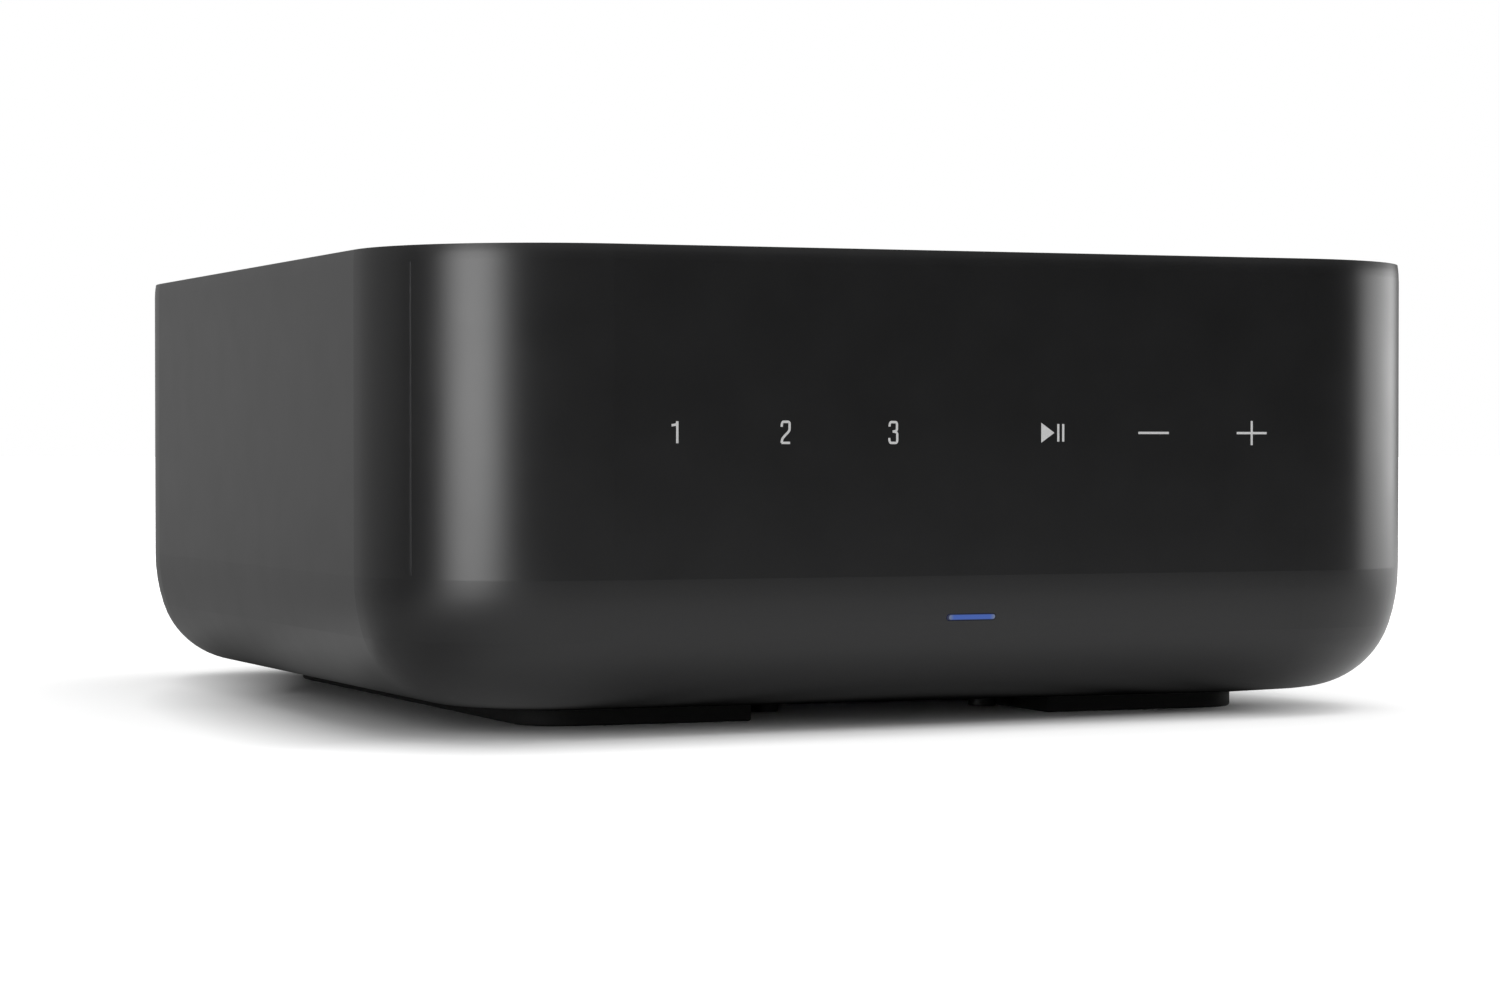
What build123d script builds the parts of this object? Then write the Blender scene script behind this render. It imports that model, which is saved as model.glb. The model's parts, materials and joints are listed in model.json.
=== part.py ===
"""Compact streaming amplifier: moulded tub with a lid, rubber rails, rear terminals and inner boards.

Millimetres, +Z up, front towards -Y. The origin is the bottom centre of the whole object, on the
surface that it stands on.
"""
import os
from math import cos, radians, sin, tan

from build123d import *

os.makedirs("parts", exist_ok=True)

# Body form
body_width = 217.0
body_depth = 231.6
body_top = 88.8
corner_radius = 37.6
wall = 3.0
foot_height = 3.1
side_arc_radius = 36.4
side_arc_turn = 18.2
edge_arc_radius = 18.6
underside_slope = 5.2
underside_flat_inset = 32.0
rim_ease = 0.25
rim_ease_height = 2.8

# Clearances
panel_gap = 0.15
hole_gap = 0.05
slide_gap = 0.1
air_gap = 0.3

# Lid
lid_thickness = 2.6
lid_lip = 1.4
skirt_thickness = 1.6
skirt_depth = 2.4
lid_boss_diameter = 8.0
lid_boss_height = 9.0

# Screws, one thread for all
screw_diameter = 3.0
screw_head_diameter = 5.6
screw_head_height = 2.2
lid_screw_length = 12.0
short_screw_length = 6.0
drive_length = 3.4
drive_width = 1.2
drive_depth = 1.0

# Columns that carry the lid
column_diameter = 10.0
column_seat = 5.0
column_inset = 7.0

# Rubber rails
rail_side_inset = 32.1
rail_end_inset = 32.2
rail_width = 44.85
rail_recess = 1.0
rail_corner_radius = 9.5
rail_edge_radius = 0.6

# Base plate between the rails
base_plate_gap = 3.5
base_plate_length = 150.0
base_plate_thickness = 1.5
base_ledge = 3.5
base_screw_inset = 4.5
base_boss_diameter = 7.0
base_boss_height = 6.0
base_slot_width = 3.0
base_slot_margin = 3.0
base_slot_pitch = 10.0
base_slot_rows = 11

# Front: touch signs and status light
sign_z = 55.2
sign_side = 11.59
sign_gap = 32.78
signs_each_side = 3
status_z = 20.7
status_length = 10.0
status_height = 1.1
status_block_width = 13.0
status_block_height = 3.0
diffuser_thickness = 0.8
diffuser_height = 11.0
baffle_depth = 4.0
baffle_height = 14.0
baffle_wall = 1.5
baffle_cell_width = 15.0
board_thickness = 1.6
front_board_side = 3.7
front_board_drop = 5.0
front_board_rise = 8.3
front_screw_x_inset = 6.0
front_screw_edge = 4.2
front_screw_rise = 17.0
front_boss_diameter = 6.0
led_width = 3.2
led_height = 1.0

# Rear panel, set back in a window of the shell
rear_panel_side = 2.9
rear_panel_height = 49.0
rear_panel_thickness = 2.0
rear_panel_recess = 4.0
rear_panel_corner = 3.0
rear_ledge = 4.0
rear_ledge_thickness = 2.5
rear_frame_margin = 2.8
rear_frame_drop = 0.8
rear_screw_inset = 4.2
rear_boss_diameter = 6.6
rear_boss_length = 8.0
rear_slot_width = 2.2
rear_slot_height = 15.0
rear_slot_pitch = 5.0
rear_slot_margin = 5.9
rear_slot_post_gap = 10.0
rear_slot_rise = 33.5

# Speaker posts
post_side = 19.0
post_spacing = 19.05
post_pair_gap = 22.0
post_rise = 35.5
stud_diameter = 6.0
stud_bore = 4.05
stud_bore_depth = 17.0
stud_short = 0.8
stud_inner_reach = 9.0
stud_gap = 0.08
wire_hole_diameter = 2.5
wire_hole_rise = 1.5
post_flange_diameter = 13.0
post_flange_height = 2.5
post_collar_diameter = 8.4
ring_diameter = 11.4
ring_height = 1.5
cap_diameter = 12.2
cap_height = 10.3
cap_flutes = 12
cap_flute_radius = 0.9
cap_flute_offset = 0.3
cap_edge = 0.6
nut_width = 9.0
nut_height = 3.0
terminal_board_margin = 7.5
terminal_board_height = 18.0

# Rear jacks, standing on the main board
main_board_rise = 8.0
main_board_depth = 64.0
main_board_left = 5.0
main_board_right = 3.0
main_board_side = 1.5
mains_gaps = 2
jack_proud = 0.5
ethernet_width = 16.0
ethernet_height = 13.4
ethernet_depth = 21.0
ethernet_opening_width = 11.8
ethernet_opening_height = 8.0
ethernet_opening_depth = 15.0
latch_width = 6.2
latch_height = 1.6
contact_width = 0.6
contact_height = 0.8
contact_length = 8.0
contact_pitch = 1.27
contact_count = 8
usb_width = 13.1
usb_height = 5.7
usb_depth = 14.0
usb_wall = 0.4
usb_back = 2.0
usb_tongue_width = 10.6
usb_tongue_height = 1.9
usb_tongue_rise = 2.6
optical_width = 9.8
optical_height = 10.6
optical_depth = 17.0
optical_proud = 1.5
optical_opening_width = 6.8
optical_opening_height = 6.4
optical_opening_depth = 10.0
optical_floor = 1.2
optical_pocket = 1.5
ferrule_diameter = 2.5
ferrule_length = 2.0
shutter_thickness = 0.8
shutter_pin_radius = 0.5
shutter_pin_reach = 1.0
shutter_pin_drop = 0.85
aux_width = 8.0
aux_height = 8.8
aux_depth = 13.0
aux_nose_diameter = 6.0
aux_bore = 3.6
aux_bore_depth = 14.0
aux_axis_rise = 4.4
sub_width = 10.0
sub_height = 11.0
sub_depth = 11.0
sub_axis_rise = 6.0
sub_flange_diameter = 9.6
sub_barrel_diameter = 8.3
sub_barrel_bore = 6.8
sub_barrel_reach = 8.0
sub_core_reach = 7.0
sub_contact_bore = 3.2
sub_contact_depth = 10.0
button_diameter = 3.6
button_proud = 0.8
button_flange_diameter = 5.4
button_flange_height = 1.0
button_travel = 0.5
button_axis_rise = 4.0
switch_width = 6.2
switch_depth = 3.6
switch_height = 7.0

# Mains inlet
inlet_side = 20.0
inlet_rise = 14.5
inlet_width = 21.0
inlet_height = 12.6
inlet_depth = 17.0
inlet_opening_width = 15.8
inlet_opening_height = 9.0
inlet_opening_depth = 12.0
inlet_flange_width = 25.0
inlet_flange_height = 15.6
inlet_flange_thickness = 1.8
mains_pin_diameter = 2.4
mains_pin_spacing = 8.6
mains_pin_length = 9.5
mains_tab_length = 5.0

# Chassis tray and boards
tray_rise = 5.0
tray_side_gap = 2.4
tray_rear_gap = 18.6
tray_thickness = 1.2
tray_flange = 9.0
tray_boss_diameter = 9.0
tray_screw_side = 14.0
tray_screw_end = 16.0
standoff_width = 5.5
low_standoff = 6.0
board_hole_inset = 5.0
board_margin = 3.0
board_end_margin = 4.0
low_board_depth = 114.0
board_row_gap = 6.6
main_standoff_rear = 26.0

# Power supply pieces, each placed from the rear edge of its board
transformer_width = 33.0
transformer_depth = 34.0
transformer_height = 27.0
transformer_place = 78.0
core_depth = 17.0
core_leg = 8.0
bobbin_gap = 0.2
bobbin_corner = 4.2
bulk_diameter = 18.0
bulk_height = 32.0
bulk_spacing = 19.5
bulk_place = 48.5
output_diameter = 12.5
output_height = 24.0
output_spacing = 15.0
output_place = 105.5
choke_radius = 8.5
choke_wire = 4.0
choke_gap = 0.5
fuse_length = 20.0
fuse_diameter = 5.2
fuse_clip_length = 4.0
fuse_clip_height = 7.0
fuse_clip_wall = 0.6
fuse_clip_drop = 1.3
fuse_place = 8.0

# Amplifier pieces
chip_width = 14.0
chip_height = 1.6
chip_spacing = 20.0
pad_thickness = 0.5
heatsink_side = 5.0
heatsink_depth = 66.0
heatsink_base = 4.0
heatsink_place = 69.0
fin_count = 9
fin_height = 20.0
fin_thickness = 1.6
heatsink_post = 7.0
heatsink_post_inset = 5.0
inductor_count = 4
inductor_width = 9.0
inductor_corner = 1.5
inductor_height = 9.0
inductor_edge = 3.0
inductor_place = 26.0
film_width = 7.5
film_depth = 6.0
film_height = 10.0
film_place = 14.0

# Main board pieces
can_size = 28.0
can_height = 4.0
can_wall = 0.5
can_place = 24.0
can_side = 22.0
wireless_width = 22.0
wireless_depth = 18.0
wireless_thickness = 1.0
wireless_can = 14.0
wireless_can_height = 2.2
wireless_side = 20.0

# Inner leads
ribbon_thickness = 0.8
ribbon_width = 12.0
ribbon_bend = 3.0
flex_thickness = 0.3
flex_width = 12.0
flex_bend = 3.0
flex_overlap = 12.0
flex_rise = 54.0
dc_ribbon_rise = 7.0
dc_ribbon_place = 92.0
dc_ribbon_edge = 2.5
speaker_ribbon_drop = 5.0
lead_diameter = 2.2
lead_bend = 8.0
lead_place = 14.0

# Places worked out from the sizes above
post_reach = post_flange_height + ring_height + cap_height
rear_reach = post_reach - rear_panel_recess
body_y = -rear_reach / 2
front_y = body_y - body_depth / 2
rear_y = body_y + body_depth / 2
half_width = body_width / 2
corner_x = half_width - corner_radius
corner_y = rear_y - corner_radius
edge_turn = 90 - underside_slope
side_arc_inset = side_arc_radius * (1 - cos(radians(side_arc_turn)))
edge_arc_inset = edge_arc_radius * (cos(radians(side_arc_turn)) - cos(radians(edge_turn)))
slope_run = underside_flat_inset - side_arc_inset - edge_arc_inset
slope_rise = slope_run * tan(radians(underside_slope))
side_arc_drop = side_arc_radius * sin(radians(side_arc_turn))
edge_arc_drop = edge_arc_radius * (sin(radians(edge_turn)) - sin(radians(side_arc_turn)))
side_arc_z = foot_height + slope_rise + edge_arc_drop + side_arc_drop
floor_z = foot_height + wall
lid_z = body_top - lid_thickness
inner_front = front_y + wall
pilot_radius = screw_diameter / 2 + hole_gap
screw_clearance_radius = screw_diameter / 2 + panel_gap

rail_outer_x = half_width - rail_side_inset
rail_inner_x = rail_outer_x - rail_width
rail_x = (rail_outer_x + rail_inner_x) / 2
rail_length = body_depth - 2 * rail_end_inset
column_x = rail_outer_x - column_inset
column_step_y = rail_length - 2 * column_inset
column_top = lid_z - lid_boss_height
base_plate_width = 2 * (rail_inner_x - base_plate_gap)
base_slot_length = (base_plate_width - 2 * base_ledge - 3 * base_slot_margin) / 2
base_slot_x = (base_slot_length + base_slot_margin) / 2

rear_panel_width = 2 * (corner_x - rear_panel_side)
rear_panel_top = lid_z - skirt_depth - rear_frame_drop - rear_frame_margin
rear_panel_bottom = rear_panel_top - rear_panel_height
rear_panel_z = (rear_panel_top + rear_panel_bottom) / 2
panel_out = rear_y - rear_panel_recess
panel_in = panel_out - rear_panel_thickness
rear_screw_step_x = rear_panel_width - 2 * rear_screw_inset
rear_screw_step_z = rear_panel_height - 2 * rear_screw_inset

post_z = rear_panel_bottom + post_rise
first_post_x = rear_panel_width / 2 - post_side
third_post_x = first_post_x - post_spacing - post_pair_gap
post_xs = (first_post_x, first_post_x - post_spacing, third_post_x, third_post_x - post_spacing)
post_base_end = panel_out + post_flange_height
cap_start = post_base_end + ring_height
terminal_board_front = panel_in - board_thickness
rear_slot_low_x = rear_slot_margin - rear_panel_width / 2
rear_slot_room = post_xs[-1] - post_flange_diameter / 2 - rear_slot_post_gap - rear_slot_low_x
rear_slot_count = int((rear_slot_room - rear_slot_width) / rear_slot_pitch) + 1
rear_slot_x = rear_slot_low_x + (rear_slot_width + (rear_slot_count - 1) * rear_slot_pitch) / 2

main_board_top = rear_panel_bottom + main_board_rise
main_board_z = main_board_top - board_thickness
main_board_high_x = rear_panel_width / 2 - rear_screw_inset - rear_boss_diameter / 2 - main_board_side
inlet_x = inlet_side - rear_panel_width / 2
inlet_z = rear_panel_bottom + inlet_rise
# The jacks share the room up to the inlet in equal gaps, and the inlet's own gap counts as mains_gaps
jack_widths = (usb_width, optical_width, aux_width, sub_width, switch_width)
ethernet_x = main_board_high_x - main_board_right - ethernet_width / 2
jack_room = ethernet_x - ethernet_width / 2 - inlet_x - inlet_flange_width / 2
jack_gap = (jack_room - sum(jack_widths)) / (len(jack_widths) + mains_gaps)
usb_x = ethernet_x - (ethernet_width + usb_width) / 2 - jack_gap
optical_x = usb_x - (usb_width + optical_width) / 2 - jack_gap
aux_x = optical_x - (optical_width + aux_width) / 2 - jack_gap
sub_x = aux_x - (aux_width + sub_width) / 2 - jack_gap
button_x = sub_x - (sub_width + switch_width) / 2 - jack_gap
jack_out = panel_out + jack_proud
optical_out = panel_out + optical_proud
main_board_low_x = button_x - main_board_left
main_board_x = (main_board_low_x + main_board_high_x) / 2
main_board_width = main_board_high_x - main_board_low_x
main_board_front = panel_in - main_board_depth
main_board_y = panel_in - main_board_depth / 2
inlet_back = panel_out - inlet_depth
inlet_floor = panel_out + inlet_flange_thickness - inlet_opening_depth

tray_z = floor_z + tray_rise
tray_top = tray_z + tray_thickness
tray_half_width = column_x - column_diameter / 2 - tray_side_gap
low_board_rear = main_board_front - board_row_gap
low_board_y = low_board_rear - low_board_depth / 2
tray_front = low_board_rear - low_board_depth - board_end_margin
tray_rear = rear_y - tray_rear_gap
tray_y = (tray_front + tray_rear) / 2
tray_screw_step_x = 2 * (tray_half_width - tray_screw_side)
tray_screw_step_y = tray_rear - tray_front - 2 * tray_screw_end
low_board_z = tray_top + low_standoff
low_board_top = low_board_z + board_thickness
low_board_width = tray_half_width - 2 * board_margin
low_board_x = board_margin + low_board_width / 2
low_board_holes = [
    (side * low_board_x + dx, low_board_y + dy)
    for side in (-1, 1)
    for dx in (board_hole_inset - low_board_width / 2, low_board_width / 2 - board_hole_inset)
    for dy in (board_hole_inset - low_board_depth / 2, low_board_depth / 2 - board_hole_inset)
]
main_board_holes = [
    (x, y)
    for x in (main_board_low_x + board_hole_inset, main_board_high_x - board_hole_inset)
    for y in (main_board_front + board_hole_inset, panel_in - main_standoff_rear)
]

front_board_front = inner_front + diffuser_thickness + baffle_depth
front_board_back = front_board_front + board_thickness
front_board_low = status_z - front_board_drop
sign_pitch = (corner_x - sign_side - sign_gap / 2) / (signs_each_side - 1)
sign_xs = [side * (sign_gap / 2 + n * sign_pitch) for side in (-1, 1) for n in range(signs_each_side)]
baffle_width = 2 * (corner_x - sign_side) + baffle_cell_width + 2 * baffle_wall
front_board_width = baffle_width + 2 * front_board_side
front_board_high = sign_z + baffle_height / 2 + front_board_rise
front_screw_x = front_board_width / 2 - front_screw_x_inset
front_screw_points = [
    (side * front_screw_x, z)
    for side in (-1, 1)
    for z in (front_board_low + front_screw_rise, front_board_high - front_screw_edge)
]

heatsink_y = low_board_rear - heatsink_place
heatsink_width = low_board_width - 2 * heatsink_side
inductor_spacing = (low_board_width - 2 * inductor_edge - inductor_width) / (inductor_count - 1)
choke_place = lead_place + lead_diameter / 2 + choke_gap + choke_radius + choke_wire
pad_z = low_board_top + chip_height
heatsink_z = pad_z + pad_thickness
heatsink_post_ys = (
    heatsink_y - heatsink_depth / 2 + heatsink_post_inset,
    heatsink_y + heatsink_depth / 2 - heatsink_post_inset,
)


def facing_rear(y):
    """Sketch plane at y with x along X and y along Z. A positive extrusion runs forwards."""
    return Plane.XZ.offset(-y)


def looking_out(y):
    """Plane at y whose normal points rearwards."""
    return Plane(origin=(0, y, 0), x_dir=(-1, 0, 0), z_dir=(0, 1, 0))


def wall_section(plane, skin, rim, inner_end, ease=0.0):
    """Section from inner_end out to the wall, drawn in by skin; plane's x runs outwards from a corner centre."""
    outer = corner_radius - skin
    flat_end = corner_radius - underside_flat_inset - skin * tan(radians(underside_slope / 2))
    with BuildSketch(plane) as section:
        with BuildLine():
            side = Line((outer, rim - ease * rim_ease_height / rim_ease), (outer, side_arc_z))
            side_arc = JernArc(side @ 1, (0, -1), side_arc_radius - skin, -side_arc_turn)
            edge_arc = JernArc(side_arc @ 1, side_arc % 1, edge_arc_radius - skin, side_arc_turn - edge_turn)
            slope = Line(edge_arc @ 1, (flat_end, foot_height + skin))
            level = Line(slope @ 1, (inner_end, foot_height + skin))
            inside = Line(level @ 1, (inner_end, rim))
            if ease:
                top = Line(inside @ 1, (outer - ease, rim))
                TangentArc(side @ 0, top @ 1, tangent=(0, 1))
            else:
                Line(inside @ 1, side @ 0)
        make_face()
    return section.sketch


def body_form(skin, rim, ease=0.0):
    """The body's closed form, drawn in by skin on every side and cut level at rim."""
    across = Plane(origin=(corner_x, corner_y, 0), x_dir=(1, 0, 0), z_dir=(0, -1, 0))
    along = Plane(origin=(corner_x, corner_y, 0), x_dir=(0, 1, 0), z_dir=(1, 0, 0))
    with BuildPart() as form:
        corner_axis = Axis((corner_x, corner_y, 0), (0, 0, 1))
        revolve(wall_section(across, skin, rim, 0, ease), axis=corner_axis, revolution_arc=90)
        extrude(wall_section(across, skin, rim, -corner_x, ease), amount=corner_y - body_y, dir=(0, -1, 0))
        extrude(wall_section(along, skin, rim, 0, ease), amount=corner_x, dir=(-1, 0, 0))
        mirror(about=Plane.YZ)
        mirror(about=Plane.XZ.offset(-body_y))
    return form.part


def screw_form(length):
    """Pan-head screw on the XY plane: head above with a cross drive, plain shank below."""
    with BuildPart() as form:
        with BuildSketch():
            Circle(screw_head_diameter / 2)
        extrude(amount=screw_head_height)
        with BuildSketch(Plane.XY.offset(screw_head_height)):
            Rectangle(drive_length, drive_width)
            Rectangle(drive_width, drive_length)
        extrude(amount=-drive_depth, mode=Mode.SUBTRACT)
        with BuildSketch():
            Circle(screw_diameter / 2)
        extrude(amount=-length)
    return form.part


def ribbon_form(plane, points, bend, thickness, width):
    """Flat lead of constant width whose centre line runs through points on plane."""
    with BuildPart() as form:
        with BuildSketch(plane):
            with BuildLine():
                FilletPolyline(*points, radius=bend)
            trace(line_width=thickness)
        extrude(amount=width / 2, both=True)
    return form.part


short_screw = screw_form(short_screw_length)
lid_screw = screw_form(lid_screw_length)
outer_form = body_form(0, body_top, rim_ease)
inner_form = body_form(wall, body_top)
pipe_form = body_form(wall + slide_gap, body_top)

# Main shell: the tub, with the lid's seat, the rear window, the light slot and the inner bosses
with BuildPart() as main_shell:
    add(outer_form)
    add(inner_form, mode=Mode.SUBTRACT)
    with BuildSketch(Plane.XY.offset(lid_z)):
        with Locations((0, body_y)):
            RectangleRounded(body_width - 2 * lid_lip, body_depth - 2 * lid_lip, corner_radius - lid_lip)
    extrude(amount=lid_thickness, mode=Mode.SUBTRACT)
    # Frame round the rear window
    with BuildSketch(facing_rear(rear_y - wall / 2)):
        with Locations((0, rear_panel_z)):
            Rectangle(rear_panel_width + 2 * rear_frame_margin, rear_panel_height + 2 * rear_frame_margin)
    extrude(amount=rear_y - wall / 2 - panel_in + rear_ledge_thickness)
    with BuildSketch(facing_rear(panel_in)):
        with Locations((0, rear_panel_z)):
            RectangleRounded(
                rear_panel_width + 2 * panel_gap, rear_panel_height + 2 * panel_gap, rear_panel_corner + panel_gap
            )
    extrude(amount=panel_in - rear_y, mode=Mode.SUBTRACT)
    with BuildSketch(facing_rear(panel_in)):
        with Locations((0, rear_panel_z)):
            Rectangle(rear_panel_width - 2 * rear_ledge, rear_panel_height - 2 * rear_ledge)
    extrude(amount=rear_ledge_thickness, mode=Mode.SUBTRACT)
    with BuildSketch(facing_rear(panel_in)):
        with Locations((0, rear_panel_z)):
            with GridLocations(rear_screw_step_x, rear_screw_step_z, 2, 2):
                Circle(rear_boss_diameter / 2)
    extrude(amount=rear_boss_length)
    with BuildSketch(facing_rear(panel_in)):
        with Locations((0, rear_panel_z)):
            with GridLocations(rear_screw_step_x, rear_screw_step_z, 2, 2):
                Circle(pilot_radius)
    extrude(amount=short_screw_length, mode=Mode.SUBTRACT)
    # Bosses that carry the front board
    with BuildSketch(facing_rear(front_board_front)):
        with Locations(*front_screw_points):
            Circle(front_boss_diameter / 2)
    extrude(amount=front_board_front - front_y - wall / 2)
    with BuildSketch(facing_rear(front_board_front)):
        with Locations(*front_screw_points):
            Circle(pilot_radius)
    extrude(amount=short_screw_length - board_thickness + hole_gap, mode=Mode.SUBTRACT)
    # Columns for the lid screws and bosses for the tray
    with BuildSketch(Plane.XY.offset(floor_z - wall / 2)):
        with Locations((0, body_y)):
            with GridLocations(2 * column_x, column_step_y, 2, 2):
                Circle(column_diameter / 2)
    extrude(amount=column_top - floor_z + wall / 2)
    with BuildSketch(Plane.XY.offset(floor_z - wall / 2)):
        with Locations((0, tray_y)):
            with GridLocations(tray_screw_step_x, tray_screw_step_y, 2, 2):
                Circle(tray_boss_diameter / 2)
    extrude(amount=tray_rise + wall / 2)
    with BuildSketch(Plane.XY.offset(tray_z)):
        with Locations((0, tray_y)):
            with GridLocations(tray_screw_step_x, tray_screw_step_y, 2, 2):
                Circle(pilot_radius)
    extrude(amount=tray_thickness - short_screw_length, mode=Mode.SUBTRACT)
    # Window in the underside for the base plate
    with BuildSketch(Plane.XY.offset(foot_height)):
        with Locations((0, body_y)):
            Rectangle(base_plate_width + 2 * panel_gap, base_plate_length + 2 * panel_gap)
    extrude(amount=base_plate_thickness, mode=Mode.SUBTRACT)
    with BuildSketch(Plane.XY.offset(foot_height)):
        with Locations((0, body_y)):
            Rectangle(base_plate_width - 2 * base_ledge, base_plate_length - 2 * base_ledge)
    extrude(amount=wall, mode=Mode.SUBTRACT)
    with BuildSketch(Plane.XY.offset(foot_height + base_plate_thickness)):
        with Locations((0, body_y)):
            with GridLocations(
                base_plate_width - 2 * base_screw_inset, base_plate_length - 2 * base_screw_inset, 2, 2
            ):
                Circle(base_boss_diameter / 2)
                Circle(pilot_radius, mode=Mode.SUBTRACT)
    extrude(amount=base_boss_height)
    with BuildSketch(Plane.XY.offset(foot_height + base_plate_thickness)):
        with Locations((0, body_y)):
            with GridLocations(
                base_plate_width - 2 * base_screw_inset, base_plate_length - 2 * base_screw_inset, 2, 2
            ):
                Circle(pilot_radius)
    extrude(amount=short_screw_length - base_plate_thickness + hole_gap, mode=Mode.SUBTRACT)
    # Grooves for the rubber rails, then the screw wells above them
    for side in (-1, 1):
        with BuildSketch(Plane.XY.offset(foot_height)) as rail_groove:
            with Locations((side * rail_x, body_y)):
                Rectangle(rail_width + 2 * slide_gap, rail_length + 2 * slide_gap)
            fillet(rail_groove.vertices().group_by(Axis.X)[min(-side, 0)], radius=rail_corner_radius)
        extrude(amount=rail_recess, mode=Mode.SUBTRACT)
    with BuildSketch(Plane.XY.offset(foot_height)):
        with Locations((0, body_y)):
            with GridLocations(2 * column_x, column_step_y, 2, 2):
                Circle(screw_head_diameter / 2 + air_gap)
    extrude(amount=column_top - column_seat - foot_height, mode=Mode.SUBTRACT)
    with BuildSketch(Plane.XY.offset(column_top)):
        with Locations((0, body_y)):
            with GridLocations(2 * column_x, column_step_y, 2, 2):
                Circle(screw_clearance_radius)
    extrude(amount=-column_seat, mode=Mode.SUBTRACT)
    # Slot for the status light
    with BuildSketch(facing_rear(front_y)):
        with Locations((0, status_z)):
            SlotOverall(status_length + 2 * slide_gap, status_height + 2 * slide_gap)
    extrude(amount=-2 * wall, mode=Mode.SUBTRACT)
main_shell.part.label = "main_shell"
export_step(main_shell.part, "parts/main_shell.step")

# Lid: flush plate on the tub's seat, with a stiffening skirt and four screw bosses
with BuildPart() as top_panel:
    with BuildSketch(Plane.XY.offset(lid_z)):
        with Locations((0, body_y)):
            RectangleRounded(
                body_width - 2 * (lid_lip + panel_gap),
                body_depth - 2 * (lid_lip + panel_gap),
                corner_radius - lid_lip - panel_gap,
            )
    extrude(amount=lid_thickness)
    with BuildSketch(Plane.XY.offset(lid_z)):
        skirt_inset = wall + panel_gap
        with Locations((0, body_y)):
            RectangleRounded(
                body_width - 2 * skirt_inset, body_depth - 2 * skirt_inset, corner_radius - skirt_inset
            )
            RectangleRounded(
                body_width - 2 * (skirt_inset + skirt_thickness),
                body_depth - 2 * (skirt_inset + skirt_thickness),
                corner_radius - skirt_inset - skirt_thickness,
                mode=Mode.SUBTRACT,
            )
    extrude(amount=-skirt_depth)
    with BuildSketch(Plane.XY.offset(lid_z)):
        with Locations((0, body_y)):
            with GridLocations(2 * column_x, column_step_y, 2, 2):
                Circle(lid_boss_diameter / 2)
                Circle(pilot_radius, mode=Mode.SUBTRACT)
    extrude(amount=-lid_boss_height)
top_panel.part.label = "top_panel"
export_step(top_panel.part, "parts/top_panel.step")

with BuildPart(Plane(origin=(0, body_y, column_top - column_seat), x_dir=(1, 0, 0), z_dir=(0, 0, -1))) as lid_screws:
    with GridLocations(2 * column_x, column_step_y, 2, 2):
        add(lid_screw)
lid_screws.part.label = "lid_screws"
export_step(lid_screws.part, "parts/lid_screws.step")

# Base plate: vented cover between the rails
with BuildPart() as base_plate:
    with BuildSketch(Plane.XY.offset(foot_height)):
        with Locations((0, body_y)):
            Rectangle(base_plate_width, base_plate_length)
            with GridLocations(2 * base_slot_x, base_slot_pitch, 2, base_slot_rows):
                SlotOverall(base_slot_length, base_slot_width, mode=Mode.SUBTRACT)
            with GridLocations(
                base_plate_width - 2 * base_screw_inset, base_plate_length - 2 * base_screw_inset, 2, 2
            ):
                Circle(screw_clearance_radius, mode=Mode.SUBTRACT)
    extrude(amount=base_plate_thickness)
base_plate.part.label = "base_plate"
export_step(base_plate.part, "parts/base_plate.step")

with BuildPart(Plane(origin=(0, body_y, foot_height), x_dir=(1, 0, 0), z_dir=(0, 0, -1))) as base_screws:
    with GridLocations(base_plate_width - 2 * base_screw_inset, base_plate_length - 2 * base_screw_inset, 2, 2):
        add(short_screw)
base_screws.part.label = "base_screws"
export_step(base_screws.part, "parts/base_screws.step")

# Rubber rails that the amplifier stands on
for name, side in (("foot_rail_left", -1), ("foot_rail_right", 1)):
    with BuildPart() as foot_rail:
        with BuildSketch() as rail_plan:
            with Locations((side * rail_x, body_y)):
                Rectangle(rail_width, rail_length)
            fillet(rail_plan.vertices().group_by(Axis.X)[min(-side, 0)], radius=rail_corner_radius)
        extrude(amount=foot_height + rail_recess)
        fillet(foot_rail.faces().sort_by(Axis.Z)[0].edges(), radius=rail_edge_radius)
    foot_rail.part.label = name
    export_step(foot_rail.part, f"parts/{name}.step")

# Status light: a bar through the front wall, flush outside, with a block behind it
with BuildPart() as status_block:
    with BuildSketch(facing_rear(front_y)):
        with Locations((0, status_z)):
            Rectangle(status_block_width, status_block_height)
    extrude(amount=front_y - front_board_front + led_height)
    add(pipe_form, mode=Mode.INTERSECT)
with BuildPart() as status_light_pipe:
    with BuildSketch(facing_rear(front_y)):
        with Locations((0, status_z)):
            SlotOverall(status_length, status_height)
    extrude(amount=-2 * wall)
    add(outer_form, mode=Mode.INTERSECT)
    add(status_block.part)
status_light_pipe.part.label = "status_light_pipe"
export_step(status_light_pipe.part, "parts/status_light_pipe.step")

# Light box behind the touch signs: a diffuser strip, then a frame with one cell for each sign
with BuildPart() as icon_diffuser:
    with BuildSketch(facing_rear(inner_front)):
        with Locations((0, sign_z)):
            Rectangle(baffle_width, diffuser_height)
    extrude(amount=-diffuser_thickness)
icon_diffuser.part.label = "icon_diffuser"
export_step(icon_diffuser.part, "parts/icon_diffuser.step")

with BuildPart() as light_baffle:
    with BuildSketch(facing_rear(inner_front + diffuser_thickness)):
        with Locations((0, sign_z)):
            Rectangle(baffle_width, baffle_height)
        with Locations(*[(x, sign_z) for x in sign_xs]):
            Rectangle(baffle_cell_width, baffle_height - 2 * baffle_wall, mode=Mode.SUBTRACT)
    extrude(amount=-baffle_depth)
light_baffle.part.label = "light_baffle"
export_step(light_baffle.part, "parts/light_baffle.step")

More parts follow.
